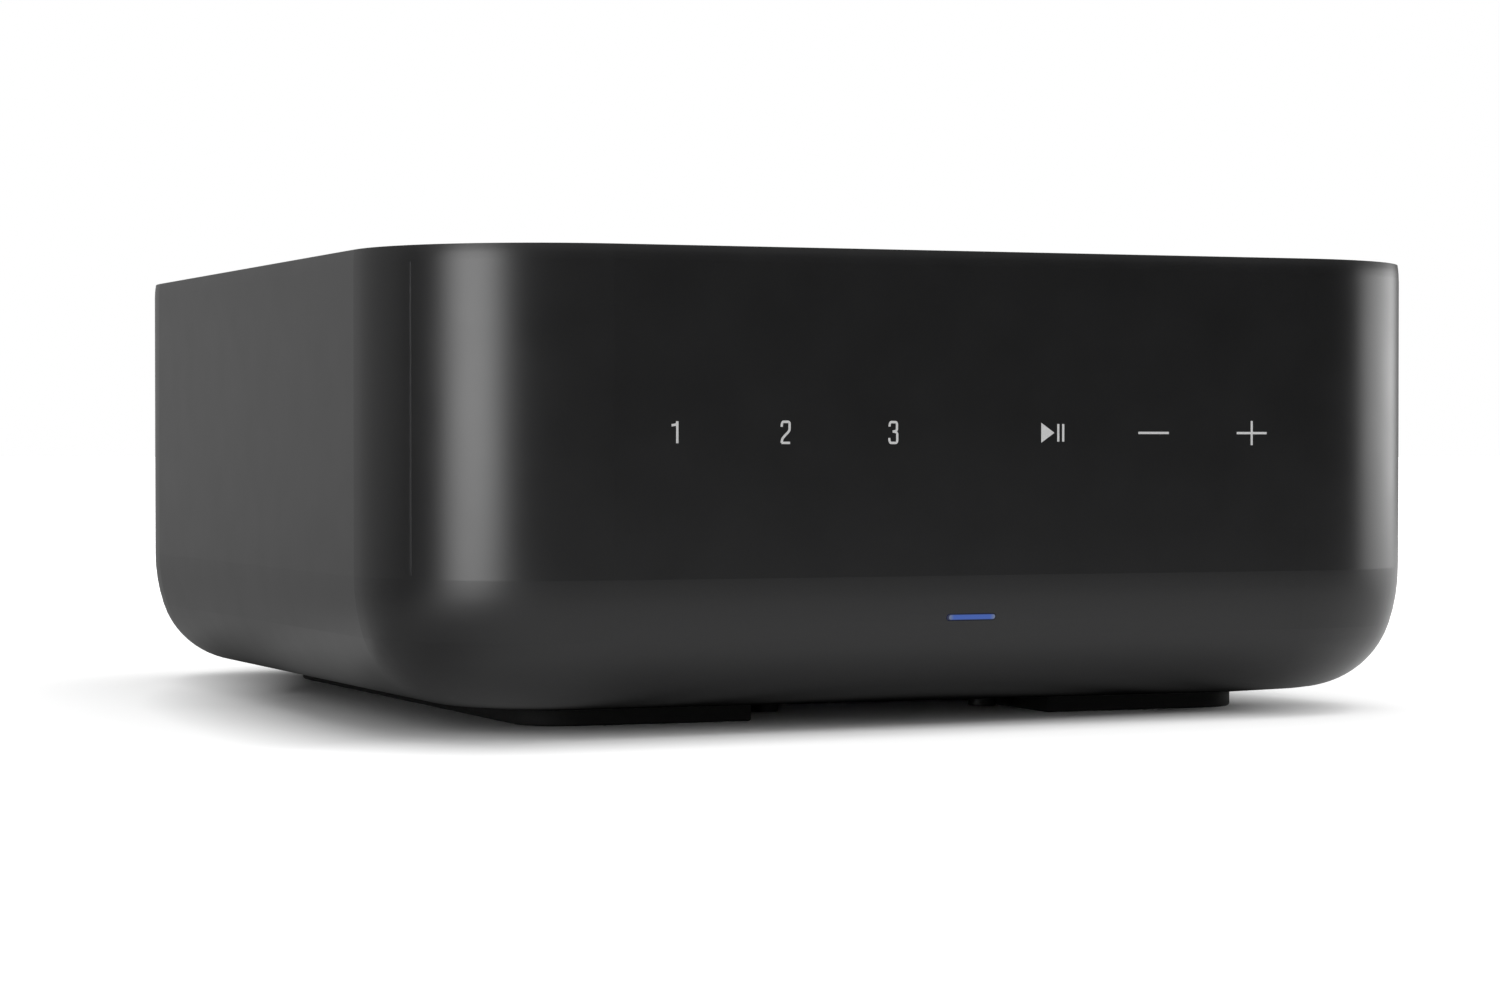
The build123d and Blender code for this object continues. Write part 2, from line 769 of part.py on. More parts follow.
with BuildPart() as front_board:
    with BuildSketch(facing_rear(front_board_front)):
        with Locations((0, (front_board_low + front_board_high) / 2)):
            Rectangle(front_board_width, front_board_high - front_board_low)
        with Locations(*front_screw_points):
            Circle(screw_clearance_radius, mode=Mode.SUBTRACT)
    extrude(amount=-board_thickness)
front_board.part.label = "front_board"
export_step(front_board.part, "parts/front_board.step")

with BuildPart() as front_leds:
    with BuildSketch(facing_rear(front_board_front)):
        with Locations((0, status_z), *[(x, sign_z) for x in sign_xs]):
            Rectangle(led_width, led_width)
    extrude(amount=led_height)
front_leds.part.label = "front_leds"
export_step(front_leds.part, "parts/front_leds.step")

# Rear panel with its holes for the posts, jacks, inlet and vents
with BuildPart() as rear_panel:
    with BuildSketch(facing_rear(panel_in)):
        with Locations((0, rear_panel_z)):
            RectangleRounded(rear_panel_width, rear_panel_height, rear_panel_corner)
            with GridLocations(rear_screw_step_x, rear_screw_step_z, 2, 2):
                Circle(screw_clearance_radius, mode=Mode.SUBTRACT)
        with Locations(*[(x, post_z) for x in post_xs]):
            Circle(post_collar_diameter / 2 + panel_gap, mode=Mode.SUBTRACT)
        with Locations((rear_slot_x, rear_panel_bottom + rear_slot_rise)):
            with GridLocations(rear_slot_pitch, 0, rear_slot_count, 1):
                SlotOverall(rear_slot_height, rear_slot_width, rotation=90, mode=Mode.SUBTRACT)
        with Locations((inlet_x, inlet_z)):
            Rectangle(inlet_width + 2 * panel_gap, inlet_height + 2 * panel_gap, mode=Mode.SUBTRACT)
        with Locations((ethernet_x, main_board_top + ethernet_height / 2)):
            Rectangle(ethernet_width + 2 * panel_gap, ethernet_height + 2 * panel_gap, mode=Mode.SUBTRACT)
        with Locations((usb_x, main_board_top + usb_height / 2)):
            Rectangle(usb_width + 2 * panel_gap, usb_height + 2 * panel_gap, mode=Mode.SUBTRACT)
        with Locations((optical_x, main_board_top + optical_height / 2)):
            Rectangle(optical_width + 2 * panel_gap, optical_height + 2 * panel_gap, mode=Mode.SUBTRACT)
        with Locations((aux_x, main_board_top + aux_axis_rise)):
            Circle(aux_nose_diameter / 2 + panel_gap, mode=Mode.SUBTRACT)
        with Locations((sub_x, main_board_top + sub_axis_rise)):
            Circle(sub_flange_diameter / 2 + panel_gap, mode=Mode.SUBTRACT)
        with Locations((button_x, main_board_top + button_axis_rise)):
            Circle(button_diameter / 2 + slide_gap, mode=Mode.SUBTRACT)
    extrude(amount=-rear_panel_thickness)
rear_panel.part.label = "rear_panel"
export_step(rear_panel.part, "parts/rear_panel.step")

with BuildPart(looking_out(panel_out)) as rear_screws:
    with Locations((0, rear_panel_z)):
        with GridLocations(rear_screw_step_x, rear_screw_step_z, 2, 2):
            add(short_screw)
rear_screws.part.label = "rear_screws"
export_step(rear_screws.part, "parts/rear_screws.step")

# Speaker posts: coloured bases, drilled studs with nuts, and a clamp ring and cap on each
for name, xs in (("post_bases_red", post_xs[0::2]), ("post_bases_black", post_xs[1::2])):
    with BuildPart() as post_bases:
        with BuildSketch(facing_rear(panel_out)):
            with Locations(*[(x, post_z) for x in xs]):
                Circle(post_flange_diameter / 2)
        extrude(amount=-post_flange_height)
        with BuildSketch(facing_rear(panel_out)):
            with Locations(*[(x, post_z) for x in xs]):
                Circle(post_collar_diameter / 2)
        extrude(amount=rear_panel_thickness)
        with BuildSketch(facing_rear(post_base_end)):
            with Locations(*[(x, post_z) for x in xs]):
                Circle(stud_diameter / 2 + hole_gap)
        extrude(amount=post_flange_height + rear_panel_thickness, mode=Mode.SUBTRACT)
    post_bases.part.label = name
    export_step(post_bases.part, f"parts/{name}.step")

stud_end = panel_out + post_reach - stud_short
stud_start = terminal_board_front - stud_inner_reach
with BuildPart() as post_studs:
    with BuildSketch(facing_rear(stud_end)):
        with Locations(*[(x, post_z) for x in post_xs]):
            Circle(stud_diameter / 2)
    extrude(amount=stud_end - stud_start)
    with BuildSketch(facing_rear(stud_end)):
        with Locations(*[(x, post_z) for x in post_xs]):
            Circle(stud_bore / 2)
    extrude(amount=stud_bore_depth, mode=Mode.SUBTRACT)
    with BuildSketch(Plane.XY.offset(post_z + stud_diameter)):
        with Locations(*[(x, post_base_end + wire_hole_rise + wire_hole_diameter / 2) for x in post_xs]):
            Circle(wire_hole_diameter / 2)
    extrude(amount=-2 * stud_diameter, mode=Mode.SUBTRACT)
post_studs.part.label = "post_studs"
export_step(post_studs.part, "parts/post_studs.step")

with BuildPart() as post_nuts:
    with BuildSketch(facing_rear(terminal_board_front)):
        with Locations(*[(x, post_z) for x in post_xs]):
            RegularPolygon(nut_width / 2, 6, major_radius=False)
            Circle(stud_diameter / 2 + hole_gap, mode=Mode.SUBTRACT)
    extrude(amount=nut_height)
post_nuts.part.label = "post_nuts"
export_step(post_nuts.part, "parts/post_nuts.step")

for number, x in enumerate(post_xs, 1):
    with BuildPart() as post_ring:
        with BuildSketch(facing_rear(post_base_end)):
            with Locations((x, post_z)):
                Circle(ring_diameter / 2)
                Circle(stud_diameter / 2 + stud_gap, mode=Mode.SUBTRACT)
        extrude(amount=-ring_height)
    post_ring.part.label = f"post_ring_{number}"
    export_step(post_ring.part, f"parts/post_ring_{number}.step")

    with BuildPart() as post_cap:
        with BuildSketch(facing_rear(cap_start)):
            with Locations((x, post_z)):
                Circle(cap_diameter / 2)
        extrude(amount=-cap_height)
        chamfer(post_cap.faces().sort_by(Axis.Y)[-1].edges(), length=cap_edge)
        with BuildSketch(facing_rear(cap_start)):
            with Locations((x, post_z)):
                with PolarLocations(cap_diameter / 2 + cap_flute_offset, cap_flutes):
                    Circle(cap_flute_radius)
        extrude(amount=-cap_height, mode=Mode.SUBTRACT)
        with BuildSketch(facing_rear(cap_start)):
            with Locations((x, post_z)):
                Circle(stud_diameter / 2 + stud_gap)
        extrude(amount=-cap_height, mode=Mode.SUBTRACT)
    post_cap.part.label = f"post_cap_{number}"
    export_step(post_cap.part, f"parts/post_cap_{number}.step")

with BuildPart() as terminal_board:
    with BuildSketch(facing_rear(panel_in)):
        with Locations(((post_xs[0] + post_xs[-1]) / 2, post_z)):
            Rectangle(post_xs[0] - post_xs[-1] + 2 * terminal_board_margin, terminal_board_height)
        with Locations(*[(x, post_z) for x in post_xs]):
            Circle(stud_diameter / 2 + hole_gap, mode=Mode.SUBTRACT)
    extrude(amount=board_thickness)
terminal_board.part.label = "terminal_board"
export_step(terminal_board.part, "parts/terminal_board.step")

# Network jack: housing with a stepped opening and eight contacts
ethernet_z = main_board_top + ethernet_height / 2
with BuildPart() as ethernet_jack:
    with BuildSketch(facing_rear(jack_out)):
        with Locations((ethernet_x, ethernet_z)):
            Rectangle(ethernet_width, ethernet_height)
    extrude(amount=ethernet_depth)
    with BuildSketch(facing_rear(jack_out)):
        with Locations((ethernet_x, ethernet_z)):
            Rectangle(ethernet_opening_width, ethernet_opening_height)
        with Locations((ethernet_x, ethernet_z + ethernet_opening_height / 2)):
            Rectangle(latch_width, 2 * latch_height)
    extrude(amount=ethernet_opening_depth, mode=Mode.SUBTRACT)
    contact_z = ethernet_z - ethernet_opening_height / 2 + contact_height / 2
    with BuildSketch(facing_rear(jack_out - ethernet_opening_depth)):
        with Locations((ethernet_x, contact_z)):
            with GridLocations(contact_pitch, 0, contact_count, 1):
                Rectangle(contact_width, contact_height)
    extrude(amount=-contact_length)
ethernet_jack.part.label = "ethernet_jack"
export_step(ethernet_jack.part, "parts/ethernet_jack.step")

# USB service port: folded steel shell with its tongue
usb_z = main_board_top + usb_height / 2
with BuildPart() as usb_port:
    with BuildSketch(facing_rear(jack_out)):
        with Locations((usb_x, usb_z)):
            Rectangle(usb_width, usb_height)
    extrude(amount=usb_depth)
    with BuildSketch(facing_rear(jack_out)):
        with Locations((usb_x, usb_z)):
            Rectangle(usb_width - 2 * usb_wall, usb_height - 2 * usb_wall)
    extrude(amount=usb_depth - usb_back, mode=Mode.SUBTRACT)
    with BuildSketch(facing_rear(jack_out - usb_depth + usb_back)):
        with Locations((usb_x, main_board_top + usb_tongue_rise + usb_tongue_height / 2)):
            Rectangle(usb_tongue_width, usb_tongue_height)
    extrude(amount=-(usb_depth - 2 * usb_back))
usb_port.part.label = "usb_port"
export_step(usb_port.part, "parts/usb_port.step")

# Optical jack with a sprung shutter that a plug pushes inwards
optical_low = main_board_top + optical_floor
optical_high = optical_low + optical_opening_height + optical_pocket
shutter_pin_z = optical_high - shutter_pin_drop
shutter_pin_y = optical_out - shutter_thickness / 2 - slide_gap
with BuildPart() as optical_jack:
    with BuildSketch(facing_rear(optical_out)):
        with Locations((optical_x, main_board_top + optical_height / 2)):
            Rectangle(optical_width, optical_height)
    extrude(amount=optical_depth)
    with BuildSketch(facing_rear(optical_out)):
        with Locations((optical_x, (optical_low + optical_high) / 2)):
            Rectangle(optical_opening_width, optical_high - optical_low)
    extrude(amount=optical_opening_depth, mode=Mode.SUBTRACT)
    with BuildSketch(facing_rear(optical_out - optical_opening_depth)):
        with Locations((optical_x, optical_low + optical_opening_height / 2)):
            Circle(ferrule_diameter / 2)
    extrude(amount=-ferrule_length)
    with BuildSketch(Plane.YZ.offset(optical_x)):
        with Locations((shutter_pin_y, shutter_pin_z)):
            Circle(shutter_pin_radius + hole_gap)
    extrude(amount=optical_opening_width / 2 + shutter_pin_reach + hole_gap, both=True, mode=Mode.SUBTRACT)
optical_jack.part.label = "optical_jack"
export_step(optical_jack.part, "parts/optical_jack.step")

with BuildPart() as optical_shutter:
    with BuildSketch(facing_rear(shutter_pin_y + shutter_thickness / 2)):
        with Locations((optical_x, (optical_low + slide_gap + shutter_pin_z) / 2)):
            Rectangle(optical_opening_width - 4 * slide_gap, shutter_pin_z - optical_low - slide_gap)
    extrude(amount=shutter_thickness)
    with BuildSketch(Plane.YZ.offset(optical_x)):
        with Locations((shutter_pin_y, shutter_pin_z)):
            Circle(shutter_pin_radius)
    extrude(amount=optical_opening_width / 2 + shutter_pin_reach, both=True)
optical_shutter.part.label = "optical_shutter"
export_step(optical_shutter.part, "parts/optical_shutter.step")

# Small round line jack
with BuildPart() as aux_jack:
    with BuildSketch(facing_rear(panel_in)):
        with Locations((aux_x, main_board_top + aux_height / 2)):
            Rectangle(aux_width, aux_height)
    extrude(amount=aux_depth)
    with BuildSketch(facing_rear(jack_out)):
        with Locations((aux_x, main_board_top + aux_axis_rise)):
            Circle(aux_nose_diameter / 2)
    extrude(amount=jack_out - panel_in)
    with BuildSketch(facing_rear(jack_out)):
        with Locations((aux_x, main_board_top + aux_axis_rise)):
            Circle(aux_bore / 2)
    extrude(amount=aux_bore_depth, mode=Mode.SUBTRACT)
aux_jack.part.label = "aux_jack"
export_step(aux_jack.part, "parts/aux_jack.step")

# Subwoofer output: plastic body with a core, and a plated barrel round the core
with BuildPart() as sub_jack:
    with BuildSketch(facing_rear(panel_in)):
        with Locations((sub_x, main_board_top + sub_height / 2)):
            Rectangle(sub_width, sub_height)
    extrude(amount=sub_depth)
    with BuildSketch(facing_rear(jack_out)):
        with Locations((sub_x, main_board_top + sub_axis_rise)):
            Circle(sub_flange_diameter / 2)
    extrude(amount=jack_out - panel_in)
    with BuildSketch(facing_rear(panel_out + sub_core_reach)):
        with Locations((sub_x, main_board_top + sub_axis_rise)):
            Circle(sub_barrel_bore / 2 - hole_gap)
    extrude(amount=sub_core_reach - jack_proud)
    with BuildSketch(facing_rear(panel_out + sub_core_reach)):
        with Locations((sub_x, main_board_top + sub_axis_rise)):
            Circle(sub_contact_bore / 2)
    extrude(amount=sub_contact_depth, mode=Mode.SUBTRACT)
sub_jack.part.label = "sub_jack"
export_step(sub_jack.part, "parts/sub_jack.step")

with BuildPart() as sub_jack_barrel:
    with BuildSketch(facing_rear(jack_out)):
        with Locations((sub_x, main_board_top + sub_axis_rise)):
            Circle(sub_barrel_diameter / 2)
            Circle(sub_barrel_bore / 2, mode=Mode.SUBTRACT)
    extrude(amount=-(sub_barrel_reach - jack_proud))
sub_jack_barrel.part.label = "sub_jack_barrel"
export_step(sub_jack_barrel.part, "parts/sub_jack_barrel.step")

# Setup button, held behind the panel by its flange, and the switch that it presses
button_flange_y = panel_in - button_flange_height
with BuildPart() as setup_button:
    with BuildSketch(facing_rear(panel_out + button_proud)):
        with Locations((button_x, main_board_top + button_axis_rise)):
            Circle(button_diameter / 2)
    extrude(amount=button_proud + rear_panel_thickness)
    with BuildSketch(facing_rear(panel_in)):
        with Locations((button_x, main_board_top + button_axis_rise)):
            Circle(button_flange_diameter / 2)
    extrude(amount=button_flange_height)
setup_button.part.label = "setup_button"
export_step(setup_button.part, "parts/setup_button.step")

with BuildPart() as setup_switch:
    with BuildSketch(facing_rear(button_flange_y - button_travel - air_gap)):
        with Locations((button_x, main_board_top + switch_height / 2)):
            Rectangle(switch_width, switch_height)
    extrude(amount=switch_depth)
setup_switch.part.label = "setup_switch"
export_step(setup_switch.part, "parts/setup_switch.step")

# Mains inlet: two pins in a round-ended well
with BuildPart() as mains_inlet:
    with BuildSketch(facing_rear(panel_out + inlet_flange_thickness)):
        with Locations((inlet_x, inlet_z)):
            RectangleRounded(inlet_flange_width, inlet_flange_height, inlet_flange_thickness)
    extrude(amount=inlet_flange_thickness)
    with BuildSketch(facing_rear(panel_out)):
        with Locations((inlet_x, inlet_z)):
            Rectangle(inlet_width, inlet_height)
    extrude(amount=inlet_depth)
    with BuildSketch(facing_rear(panel_out + inlet_flange_thickness)):
        with Locations((inlet_x, inlet_z)):
            SlotOverall(inlet_opening_width, inlet_opening_height)
    extrude(amount=inlet_opening_depth, mode=Mode.SUBTRACT)
    with BuildSketch(facing_rear(inlet_floor)):
        with Locations((inlet_x, inlet_z)):
            with GridLocations(mains_pin_spacing, 0, 2, 1):
                Circle(mains_pin_diameter / 2 + hole_gap)
    extrude(amount=inlet_floor - inlet_back, mode=Mode.SUBTRACT)
mains_inlet.part.label = "mains_inlet"
export_step(mains_inlet.part, "parts/mains_inlet.step")

with BuildPart() as mains_pins:
    with BuildSketch(facing_rear(inlet_floor + mains_pin_length)):
        with Locations((inlet_x, inlet_z)):
            with GridLocations(mains_pin_spacing, 0, 2, 1):
                Circle(mains_pin_diameter / 2)
    extrude(amount=mains_pin_length + inlet_floor - inlet_back + mains_tab_length)
mains_pins.part.label = "mains_pins"
export_step(mains_pins.part, "parts/mains_pins.step")

lead_y = low_board_rear - lead_place
with BuildPart() as mains_leads:
    for x in (inlet_x - mains_pin_spacing / 2, inlet_x + mains_pin_spacing / 2):
        with BuildLine() as lead_path:
            FilletPolyline(
                (x, inlet_back - mains_tab_length, inlet_z),
                (x, lead_y, inlet_z),
                (x, lead_y, low_board_top),
                radius=lead_bend,
            )
        with BuildSketch(Plane(origin=lead_path.line @ 0, z_dir=lead_path.line % 0)):
            Circle(lead_diameter / 2)
        sweep(path=lead_path.line)
mains_leads.part.label = "mains_leads"
export_step(mains_leads.part, "parts/mains_leads.step")

# Chassis tray with folded sides, the standoffs on it and all inner screws
with BuildPart() as chassis_tray:
    with BuildSketch(Plane.XY.offset(tray_z)):
        with Locations((0, tray_y)):
            Rectangle(2 * tray_half_width, tray_rear - tray_front)
            with GridLocations(tray_screw_step_x, tray_screw_step_y, 2, 2):
                Circle(screw_clearance_radius, mode=Mode.SUBTRACT)
    extrude(amount=tray_thickness)
    with BuildSketch(Plane.XY.offset(tray_z)):
        with Locations((0, tray_y)):
            with GridLocations(2 * tray_half_width - tray_thickness, 0, 2, 1):
                Rectangle(tray_thickness, tray_rear - tray_front)
    extrude(amount=tray_flange)
chassis_tray.part.label = "chassis_tray"
export_step(chassis_tray.part, "parts/chassis_tray.step")

with BuildPart() as board_standoffs:
    with BuildSketch(Plane.XY.offset(tray_top)):
        with Locations(*low_board_holes):
            RegularPolygon(standoff_width / 2, 6, major_radius=False)
    extrude(amount=low_standoff)
    with BuildSketch(Plane.XY.offset(tray_top)):
        with Locations(*main_board_holes):
            RegularPolygon(standoff_width / 2, 6, major_radius=False)
    extrude(amount=main_board_z - tray_top)
    with BuildSketch(Plane.XY.offset(low_board_z)):
        with Locations(*low_board_holes):
            Circle(pilot_radius)
    extrude(amount=board_thickness - short_screw_length, mode=Mode.SUBTRACT)
    with BuildSketch(Plane.XY.offset(main_board_z)):
        with Locations(*main_board_holes):
            Circle(pilot_radius)
    extrude(amount=board_thickness - short_screw_length, mode=Mode.SUBTRACT)
board_standoffs.part.label = "board_standoffs"
export_step(board_standoffs.part, "parts/board_standoffs.step")

with BuildPart() as inner_screws:
    with Locations(*[(x, y, low_board_top) for x, y in low_board_holes]):
        add(short_screw)
    with Locations(*[(x, y, main_board_top) for x, y in main_board_holes]):
        add(short_screw)
    with Locations((0, tray_y, tray_top)):
        with GridLocations(tray_screw_step_x, tray_screw_step_y, 2, 2):
            add(short_screw)
    with Locations(*[Location((x, front_board_back, z), (-90, 0, 0)) for x, z in front_screw_points]):
        add(short_screw)
    with Locations(*[Location((low_board_x, y, low_board_z), (180, 0, 0)) for y in heatsink_post_ys]):
        add(short_screw)
inner_screws.part.label = "inner_screws"
export_step(inner_screws.part, "parts/inner_screws.step")

# Power supply board and what stands on it
with BuildPart() as psu_board:
    with BuildSketch(Plane.XY.offset(low_board_z)):
        with Locations((-low_board_x, low_board_y)):
            Rectangle(low_board_width, low_board_depth)
        with Locations(*low_board_holes):
            Circle(screw_clearance_radius, mode=Mode.SUBTRACT)
    extrude(amount=board_thickness)
psu_board.part.label = "psu_board"
export_step(psu_board.part, "parts/psu_board.step")

transformer_y = low_board_rear - transformer_place
with BuildPart() as psu_transformer:
    with BuildSketch(facing_rear(transformer_y)):
        with Locations((-low_board_x, low_board_top + transformer_height / 2)):
            Rectangle(transformer_width, transformer_height)
            Rectangle(transformer_width - 2 * core_leg, transformer_height - 2 * core_leg, mode=Mode.SUBTRACT)
    extrude(amount=core_depth / 2, both=True)
    with BuildSketch(Plane.XY.offset(low_board_top + core_leg + bobbin_gap)):
        with Locations((-low_board_x, transformer_y)):
            RectangleRounded(transformer_width - 2 * core_leg - 2 * bobbin_gap, transformer_depth, bobbin_corner)
    extrude(amount=transformer_height - 2 * core_leg - 2 * bobbin_gap)
psu_transformer.part.label = "psu_transformer"
export_step(psu_transformer.part, "parts/psu_transformer.step")

with BuildPart() as psu_capacitors:
    with BuildSketch(Plane.XY.offset(low_board_top)):
        with Locations((-low_board_x, low_board_rear - bulk_place)):
            with GridLocations(bulk_spacing, 0, 2, 1):
                Circle(bulk_diameter / 2)
    extrude(amount=bulk_height)
    with BuildSketch(Plane.XY.offset(low_board_top)):
        with Locations((-low_board_x, low_board_rear - output_place)):
            with GridLocations(output_spacing, 0, 2, 1):
                Circle(output_diameter / 2)
    extrude(amount=output_height)
psu_capacitors.part.label = "psu_capacitors"
export_step(psu_capacitors.part, "parts/psu_capacitors.step")

with BuildPart() as psu_choke:
    with BuildSketch(Plane.XZ.offset(choke_place - low_board_rear)):
        with Locations((-low_board_x + choke_radius, low_board_top + choke_wire)):
            Circle(choke_wire)
    revolve(axis=Axis((-low_board_x, low_board_rear - choke_place, 0), (0, 0, 1)))
psu_choke.part.label = "psu_choke"
export_step(psu_choke.part, "parts/psu_choke.step")

fuse_y = low_board_rear - fuse_place
fuse_z = low_board_top + fuse_clip_height - fuse_diameter / 2
with BuildPart() as psu_fuse:
    with BuildSketch(Plane.YZ.offset(-low_board_x)):
        with Locations((fuse_y, fuse_z)):
            Circle(fuse_diameter / 2)
    extrude(amount=fuse_length / 2, both=True)
    clip_width = fuse_diameter + 2 * fuse_clip_wall
    with BuildSketch(Plane.XY.offset(low_board_top)):
        with Locations((-low_board_x, fuse_y)):
            with GridLocations(fuse_length - fuse_clip_length, 0, 2, 1):
                Rectangle(fuse_clip_length, clip_width)
    extrude(amount=fuse_clip_height - fuse_clip_drop)
psu_fuse.part.label = "psu_fuse"
export_step(psu_fuse.part, "parts/psu_fuse.step")

# Amplifier board, its chips under one finned heatsink, and the output filter
with BuildPart() as amp_board:
    with BuildSketch(Plane.XY.offset(low_board_z)):
        with Locations((low_board_x, low_board_y)):
            Rectangle(low_board_width, low_board_depth)
        with Locations(*low_board_holes):
            Circle(screw_clearance_radius, mode=Mode.SUBTRACT)
        with Locations(*[(low_board_x, y) for y in heatsink_post_ys]):
            Circle(screw_clearance_radius, mode=Mode.SUBTRACT)
    extrude(amount=board_thickness)
amp_board.part.label = "amp_board"
export_step(amp_board.part, "parts/amp_board.step")

with BuildPart() as amp_chips:
    with BuildSketch(Plane.XY.offset(low_board_top)):
        with Locations((low_board_x, heatsink_y)):
            with GridLocations(chip_spacing, 0, 2, 1):
                Rectangle(chip_width, chip_width)
    extrude(amount=chip_height)
amp_chips.part.label = "amp_chips"
export_step(amp_chips.part, "parts/amp_chips.step")

with BuildPart() as thermal_pads:
    with BuildSketch(Plane.XY.offset(pad_z)):
        with Locations((low_board_x, heatsink_y)):
            with GridLocations(chip_spacing, 0, 2, 1):
                Rectangle(chip_width, chip_width)
    extrude(amount=pad_thickness)
thermal_pads.part.label = "thermal_pads"
export_step(thermal_pads.part, "parts/thermal_pads.step")

with BuildPart() as heatsink:
    with BuildSketch(Plane.XY.offset(heatsink_z)):
        with Locations((low_board_x, heatsink_y)):
            Rectangle(heatsink_width, heatsink_depth)
    extrude(amount=heatsink_base)
    with BuildSketch(Plane.XY.offset(heatsink_z + heatsink_base)):
        with Locations((low_board_x, heatsink_y)):
            with GridLocations((heatsink_width - fin_thickness) / (fin_count - 1), 0, fin_count, 1):
                Rectangle(fin_thickness, heatsink_depth)
    extrude(amount=fin_height)
    with BuildSketch(Plane.XY.offset(low_board_top)):
        with Locations(*[(low_board_x, y) for y in heatsink_post_ys]):
            Circle(heatsink_post / 2)
    extrude(amount=heatsink_z - low_board_top)
    with BuildSketch(Plane.XY.offset(low_board_top)):
        with Locations(*[(low_board_x, y) for y in heatsink_post_ys]):
            Circle(pilot_radius)
    extrude(amount=short_screw_length - board_thickness, mode=Mode.SUBTRACT)
heatsink.part.label = "heatsink"
export_step(heatsink.part, "parts/heatsink.step")

with BuildPart() as amp_inductors:
    with BuildSketch(Plane.XY.offset(low_board_top)):
        with Locations((low_board_x, low_board_rear - inductor_place)):
            with GridLocations(inductor_spacing, 0, inductor_count, 1):
                RectangleRounded(inductor_width, inductor_width, inductor_corner)
    extrude(amount=inductor_height)
amp_inductors.part.label = "amp_inductors"
export_step(amp_inductors.part, "parts/amp_inductors.step")

with BuildPart() as amp_capacitors:
    with BuildSketch(Plane.XY.offset(low_board_top)):
        with Locations((low_board_x, low_board_rear - film_place)):
            with GridLocations(inductor_spacing, 0, inductor_count, 1):
                Rectangle(film_width, film_depth)
    extrude(amount=film_height)
amp_capacitors.part.label = "amp_capacitors"
export_step(amp_capacitors.part, "parts/amp_capacitors.step")

# Main board with its shield can and wireless module
with BuildPart() as main_board:
    with BuildSketch(Plane.XY.offset(main_board_z)):
        with Locations((main_board_x, main_board_y)):
            Rectangle(main_board_width, main_board_depth)
        with Locations(*main_board_holes):
            Circle(screw_clearance_radius, mode=Mode.SUBTRACT)
    extrude(amount=board_thickness)
main_board.part.label = "main_board"
export_step(main_board.part, "parts/main_board.step")

with BuildPart() as shield_can:
    with BuildSketch(Plane.XY.offset(main_board_top)):
        with Locations((main_board_high_x - can_side, main_board_front + can_place)):
            RectangleRounded(can_size, can_size, can_wall)
    extrude(amount=can_height)
    with BuildSketch(Plane.XY.offset(main_board_top)):
        with Locations((main_board_high_x - can_side, main_board_front + can_place)):
            Rectangle(can_size - 2 * can_wall, can_size - 2 * can_wall)
    extrude(amount=can_height - can_wall, mode=Mode.SUBTRACT)
shield_can.part.label = "shield_can"
export_step(shield_can.part, "parts/shield_can.step")

with BuildPart() as wireless_module:
    with BuildSketch(Plane.XY.offset(main_board_top)):
        with Locations((main_board_low_x + wireless_side, main_board_front + can_place)):
            Rectangle(wireless_width, wireless_depth)
    extrude(amount=wireless_thickness)
    with BuildSketch(Plane.XY.offset(main_board_top + wireless_thickness)):
        with Locations((main_board_low_x + wireless_side, main_board_front + can_place)):
            Rectangle(wireless_can, wireless_can)
    extrude(amount=wireless_can_height)
wireless_module.part.label = "wireless_module"
export_step(wireless_module.part, "parts/wireless_module.step")

# Flat leads between the boards
flex_half = flex_thickness / 2
front_flex_form = ribbon_form(
    Plane.YZ,
    [
        (front_board_back + flex_half, flex_rise + flex_overlap),
        (front_board_back + flex_half, flex_rise),
        (main_board_front - flex_overlap, flex_rise),
        (main_board_front, main_board_top + flex_half),
        (main_board_front + flex_overlap, main_board_top + flex_half),
    ],
    flex_bend,
    flex_thickness,
    flex_width,
)
front_flex_form.label = "front_flex"
export_step(front_flex_form, "parts/front_flex.step")

dc_ribbon_y = low_board_rear - dc_ribbon_place
dc_ribbon_x = board_margin + dc_ribbon_edge
dc_ribbon_form = ribbon_form(
    facing_rear(dc_ribbon_y),
    [
        (-dc_ribbon_x, low_board_top),
        (-dc_ribbon_x, low_board_top + dc_ribbon_rise),
        (dc_ribbon_x, low_board_top + dc_ribbon_rise),
        (dc_ribbon_x, low_board_top),
    ],
    ribbon_bend,
    ribbon_thickness,
    ribbon_width,
)
dc_ribbon_form.label = "dc_ribbon"
export_step(dc_ribbon_form, "parts/dc_ribbon.step")

speaker_ribbon_y = terminal_board_front - ribbon_thickness / 2
speaker_ribbon_z = post_z - terminal_board_height / 2 - speaker_ribbon_drop + ribbon_bend
speaker_ribbon_form = ribbon_form(
    Plane.YZ.offset(low_board_x),
    [
        (speaker_ribbon_y, post_z - nut_width / 2 - ribbon_thickness),
        (speaker_ribbon_y, speaker_ribbon_z),
        (low_board_rear - board_end_margin, speaker_ribbon_z),
        (low_board_rear - board_end_margin, low_board_top),
    ],
    ribbon_bend,
    ribbon_thickness,
    ribbon_width,
)
speaker_ribbon_form.label = "speaker_ribbon"
export_step(speaker_ribbon_form, "parts/speaker_ribbon.step")
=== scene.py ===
"""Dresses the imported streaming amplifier: finishes for every part, the touch signs, the parting lines and the
studio. Metres, +Z up, front towards -Y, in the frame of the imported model."""
import json

from math import atan2, cos, degrees, hypot, pi, radians, sin

import bmesh
import bpy
from mathutils import Matrix, Vector


